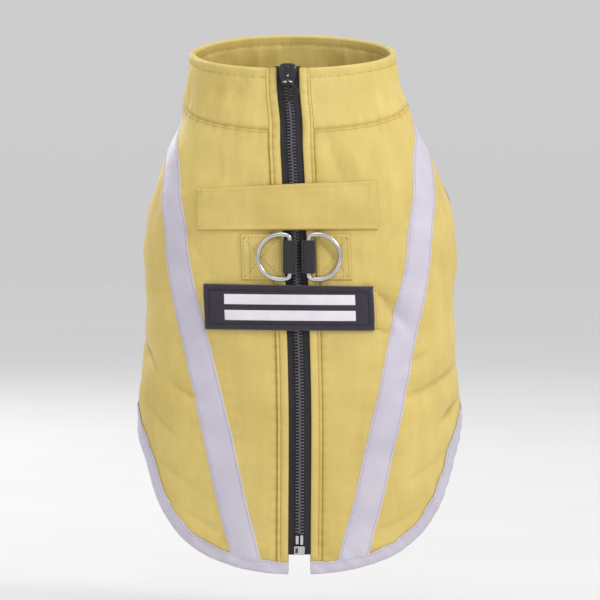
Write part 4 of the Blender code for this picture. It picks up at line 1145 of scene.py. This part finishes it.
def dress_tabs():
    top, bottom = -116.4, -150.6
    for word, left, right in (("left", -46.5, -11.6), ("right", 16.9, 47.0)):
        places = band_grid(left, right, (-113.8, -113.6), (-153.0, -153.2), 24, 24)[0]
        made = wall(f"tab_{word}", places, 2.1, 3.9, STRAP_CLOTH, roll=1.2, tuck=0.5, crease_shaded=False)
        declare(made, f"ring_tab_{word}")
        near, far = left + 2.4, right - 2.4
        edge = near + 5 if word == "left" else far - 5
        rows = [[(near, top), (far, top), (far, bottom), (near, bottom), (near, top)],
                [(near, top), (far, bottom)], [(far, top), (near, bottom)], [(edge, top), (edge, bottom)]]
        box_lines(f"tab_{word}_stitching", rows, lambda distance: 3.9, YELLOW_THREAD)


def dress_triangle():
    # the heights of its top and bottom edges, and the x of each edge's two ends
    top, bottom, top_ends, bottom_ends = 6.5, -53.4, (-2.1, -1.1), (-30.5, 25.4)
    rows = []
    for share in np.concatenate([[0, 0.01, 0.03], np.linspace(0.06, 0.97, 30), [0.985, 0.995, 1]]):
        height = top + (bottom - top) * share
        left, right = (high + (low - high) * share for high, low in zip(top_ends, bottom_ends))
        rows.append([(chest_angle(x, height), height) for x in np.linspace(left, right, 15)])
    made = wall("throat_triangle", np.array(rows), *STRIP_LAYER, TAPE, roll=0.8, tuck=0.5)
    declare(made, "chest_triangle")
    corners = np.array([(-1.6, 0.5), (22.6, -51.4), (-27.8, -51.4), (-1.6, 0.5)])
    lines = []
    for a, b in zip(corners[:-1], corners[1:]):
        x, height = (a + (b - a) * np.linspace(0, 1, 24)[:, None]).T
        lines.append(seam_line(np.stack([chest_angle(x, height), height], -1), 2.7))
    stitches("throat_triangle_stitching", lines, PALE_THREAD, 3.0, 2.1, 0.22)


# ---- rings and their loops

WIRE_RADIUS = 1.98
# a ring's half length along its bar, its reach from its middle, and its bar's distance from it
LEAD_RING, CHEST_RING = (19.2, 19.2, 8.0), (16.8, 25.0, 5.0)
# the two lead rings' bars from the zip's middle and their far edges from those, along the cloth
LEAD_BARS, LEAD_REACH, LEAD_LEVEL = (-4.9, 10.7), 27.2, -133.4
CHEST_RING_X, CHEST_TIP_LEVEL = -3.3, -66.6
LEAD_LOOP_HALF, CHEST_LOOP_HALF = 14.2, 12.3
LOOP_HALF_WIDTH, LOOP_HALF_DEPTH, LOOP_BORE, LOOP_POWER = 6.0, 3.55, 2.36, 3.4


def ring_path(half_length, reach, bar_offset):
    """A D ring's middle line in its own plane: an oval cut off by its bar, which is at 0."""
    path = []
    for turn in np.linspace(0, FULL_TURN, 90, endpoint=False):
        away, along = math.cos(turn), math.sin(turn)
        distance = 1 / math.hypot(away / reach, along / half_length)
        if away < -1e-6:
            distance = (distance ** -18 + (bar_offset / -away) ** -18) ** (-1 / 18)
        path.append((distance * away + bar_offset, distance * along))
    path = np.array(path + path[:1])
    run = running_length(path)
    even = np.linspace(0, run[-1], 140, endpoint=False)
    return np.stack([np.interp(even, run, line) for line in path.T], -1)


def dress_ring(name, node, shape, reach_way, bar_way, body):
    bar, normal = joint_place(body), np.cross(reach_way, bar_way)
    points = np.array([bar + away * reach_way + along * bar_way for away, along in ring_path(*shape)])
    ahead = unit(np.roll(points, -1, 0) - np.roll(points, 1, 0))
    sections = [section_ring(point, WIRE_RADIUS, np.cross(way, normal), normal, 20)
                for point, way in zip(points, ahead)]
    stand_in(loft(name, sections, True, STEEL, body, 80), node)


def dress_loop(name, node, bar, across, along, half_length):
    """Webbing folded round a ring's bar, with a finished edge."""
    depth = np.cross(across, along)
    stations = []
    for turn in np.linspace(0, FULL_TURN, 56, endpoint=False):
        c, s = math.cos(turn), math.sin(turn)
        way = c * across + s * depth
        shares = abs(c / LOOP_HALF_WIDTH) ** LOOP_POWER + abs(s / LOOP_HALF_DEPTH) ** LOOP_POWER
        size = shares ** (-1 / LOOP_POWER)
        inner = bar + LOOP_BORE * way
        outer = [bar + (size - 0.35 * max(0.0, abs(t) - 0.86) / 0.14) * way + t * half_length * along
                 for t in np.linspace(-1, 1, 15)]
        stations.append([inner - half_length * along, *outer, inner + half_length * along])
    stand_in(loft(name, stations, True, WEBBING, sharp=55), node)


def dress_rings():
    up = np.array((0.0, 0.0, 1.0))
    for middle, (side, word) in zip(LEAD_BARS, SIDES):
        body = f"ring_{word}"
        bar = joint_place(body)
        tip_angle = angle_at(middle + side * LEAD_REACH, LEAD_LEVEL)
        tip = bare_cloth(tip_angle, LEAD_LEVEL) + outward(tip_angle, LEAD_LEVEL) * 7.6
        toward = unit((tip - bar) * (1, 1, 0))
        dress_ring(f"ring_wire_{word}", f"d_ring_{word}", LEAD_RING, toward, up, body)
        dress_loop(f"loop_{word}", f"ring_loop_{word}", bar, toward, up, LEAD_LOOP_HALF)
        lines = []
        for across in (-3.9, 3.6):
            path = [bar + toward * across + (0, -3.45, height) for height in np.linspace(-12.6, 12.6, 12)]
            lines.append((path, np.tile([0, -1, 0], (12, 1))))
        stitches(f"loop_{word}_stitching", lines, BLACK_THREAD)
    right, bar = np.array((1.0, 0.0, 0.0)), joint_place("ring_chest")
    tip_angle = chest_angle(CHEST_RING_X, CHEST_TIP_LEVEL)
    tip = bare_cloth(tip_angle, CHEST_TIP_LEVEL) + outward(tip_angle, CHEST_TIP_LEVEL) * 7.0
    toward = unit((tip - bar) * (0, 1, 1))
    dress_ring("ring_wire_chest", "chest_ring", CHEST_RING, toward, right, "ring_chest")
    dress_loop("loop_chest", "chest_loop", bar, toward, right, CHEST_LOOP_HALF)
    lines = []
    for x in (6.5, -6.9):
        for z in (4.1, 1.4, -1.3):
            lines.append(([bar + (x + dx, 3.62, z) for dx in (-1.7, 0, 1.7)], np.tile([0, 1, 0], (3, 1))))
    stitches("loop_chest_stitching", lines, PALE_THREAD, 5.0, 3.2, 0.38)


# ---- light, floor, camera

AIM = Vector((0, 0, -0.17))
CAMERA_TARGET, CAMERA_DISTANCE, CAMERA_LIFT = Vector((0.0, 0.0, -0.172)), 3.35, math.radians(1.6)
FLOOR_LEVEL, FLOOR_RINGS, FLOOR_SIDES = -0.452, (0.3, 0.8, 1.6, 3.0, 6.0, 12.0), 64
# name, place, size, energy, tint
LAMPS = (
    ("key", (3.0, -2.1, 1.9), 1.2, 62, (1.0, 0.985, 0.96)),
    ("fill", (-2.6, -2.6, 0.9), 2.4, 8, (0.97, 0.98, 1.0)),
    ("back", (-2.2, 2.8, 1.7), 1.4, 52, (1.0, 1.0, 1.0)),
    ("top", (0.2, -0.3, 3.0), 1.6, 16, (1.0, 1.0, 1.0)))


def place_facing(name, data, place, target):
    made = bpy.data.objects.new(name, data)
    made.location = place
    made.rotation_euler = (target - Vector(place)).to_track_quat("-Z", "Y").to_euler()
    bpy.context.scene.collection.objects.link(made)
    return made


def grey_sky():
    """A soft grey world, lightest a little above the horizon."""
    world = bpy.data.worlds.new("studio")
    world.use_nodes = True
    nodes, links = world.node_tree.nodes, world.node_tree.links
    place, split, ramp = (nodes.new(f"ShaderNode{kind}") for kind in ("TexCoord", "SeparateXYZ", "ValToRGB"))
    links.new(place.outputs["Generated"], split.inputs["Vector"])
    links.new(split.outputs["Z"], ramp.inputs["Fac"])
    elements = [*ramp.color_ramp.elements, ramp.color_ramp.elements.new(0.5)]
    for element, (at, grey) in zip(elements, ((0.0, 0.6), (1.0, 0.62), (0.3, 0.68))):
        element.position, element.color = at, (grey, grey, grey, 1)
    links.new(ramp.outputs["Color"], nodes["Background"].inputs["Color"])
    nodes["Background"].inputs["Strength"].default_value = 1.0
    bpy.context.scene.world = world


def pale_floor():
    points, faces = [(0, 0, FLOOR_LEVEL)], []
    for ring in FLOOR_RINGS:
        for a in np.linspace(0, FULL_TURN, FLOOR_SIDES, endpoint=False):
            points.append((ring * math.cos(a), ring * math.sin(a), FLOOR_LEVEL))
    for k in range(FLOOR_SIDES):
        a, b = 1 + k, 1 + (k + 1) % FLOOR_SIDES
        faces.append((0, a, b))
        for ring in range(len(FLOOR_RINGS) - 1):
            inner, outer = ring * FLOOR_SIDES, (ring + 1) * FLOOR_SIDES
            faces.append((a + inner, a + outer, b + outer, b + inner))
    mesh = bpy.data.meshes.new("floor")
    mesh.from_pydata(points, [], faces)
    floor = bpy.data.objects.new("floor", mesh)
    bpy.context.scene.collection.objects.link(floor)
    paint = Paint("pale_floor", Roughness=0.75, Specular_IOR_Level=0.2)
    paint.base(paint.cloudy(paint.noise(3, 2), (0.69, 0.69, 0.695, 1), (0.71, 0.71, 0.715, 1)))
    mesh.materials.append(paint.material)


def studio():
    scene = bpy.context.scene
    scene.view_settings.view_transform = "Standard"
    grey_sky()
    pale_floor()
    for name, place, size, energy, tint in LAMPS:
        data = bpy.data.lights.new(name, "AREA")
        data.shape, data.size, data.energy, data.color = "DISK", size, energy, tint
        place_facing(name, data, place, AIM)
    data = bpy.data.cameras.new("photo_camera")
    data.lens, data.sensor_width, data.clip_end = 230, 36, 50
    offset = CAMERA_DISTANCE * Vector((0, -math.cos(CAMERA_LIFT), math.sin(CAMERA_LIFT)))
    scene.camera = place_facing("photo_camera", data, CAMERA_TARGET + offset, CAMERA_TARGET)


studio()
dress_walls()
dress_collar()
dress_bindings()
dress_strips()
dress_zip()
dress_slider()
dress_zip_end()
dress_handle()
dress_badge()
dress_tabs()
dress_triangle()
dress_rings()

bpy.context.view_layer.update()
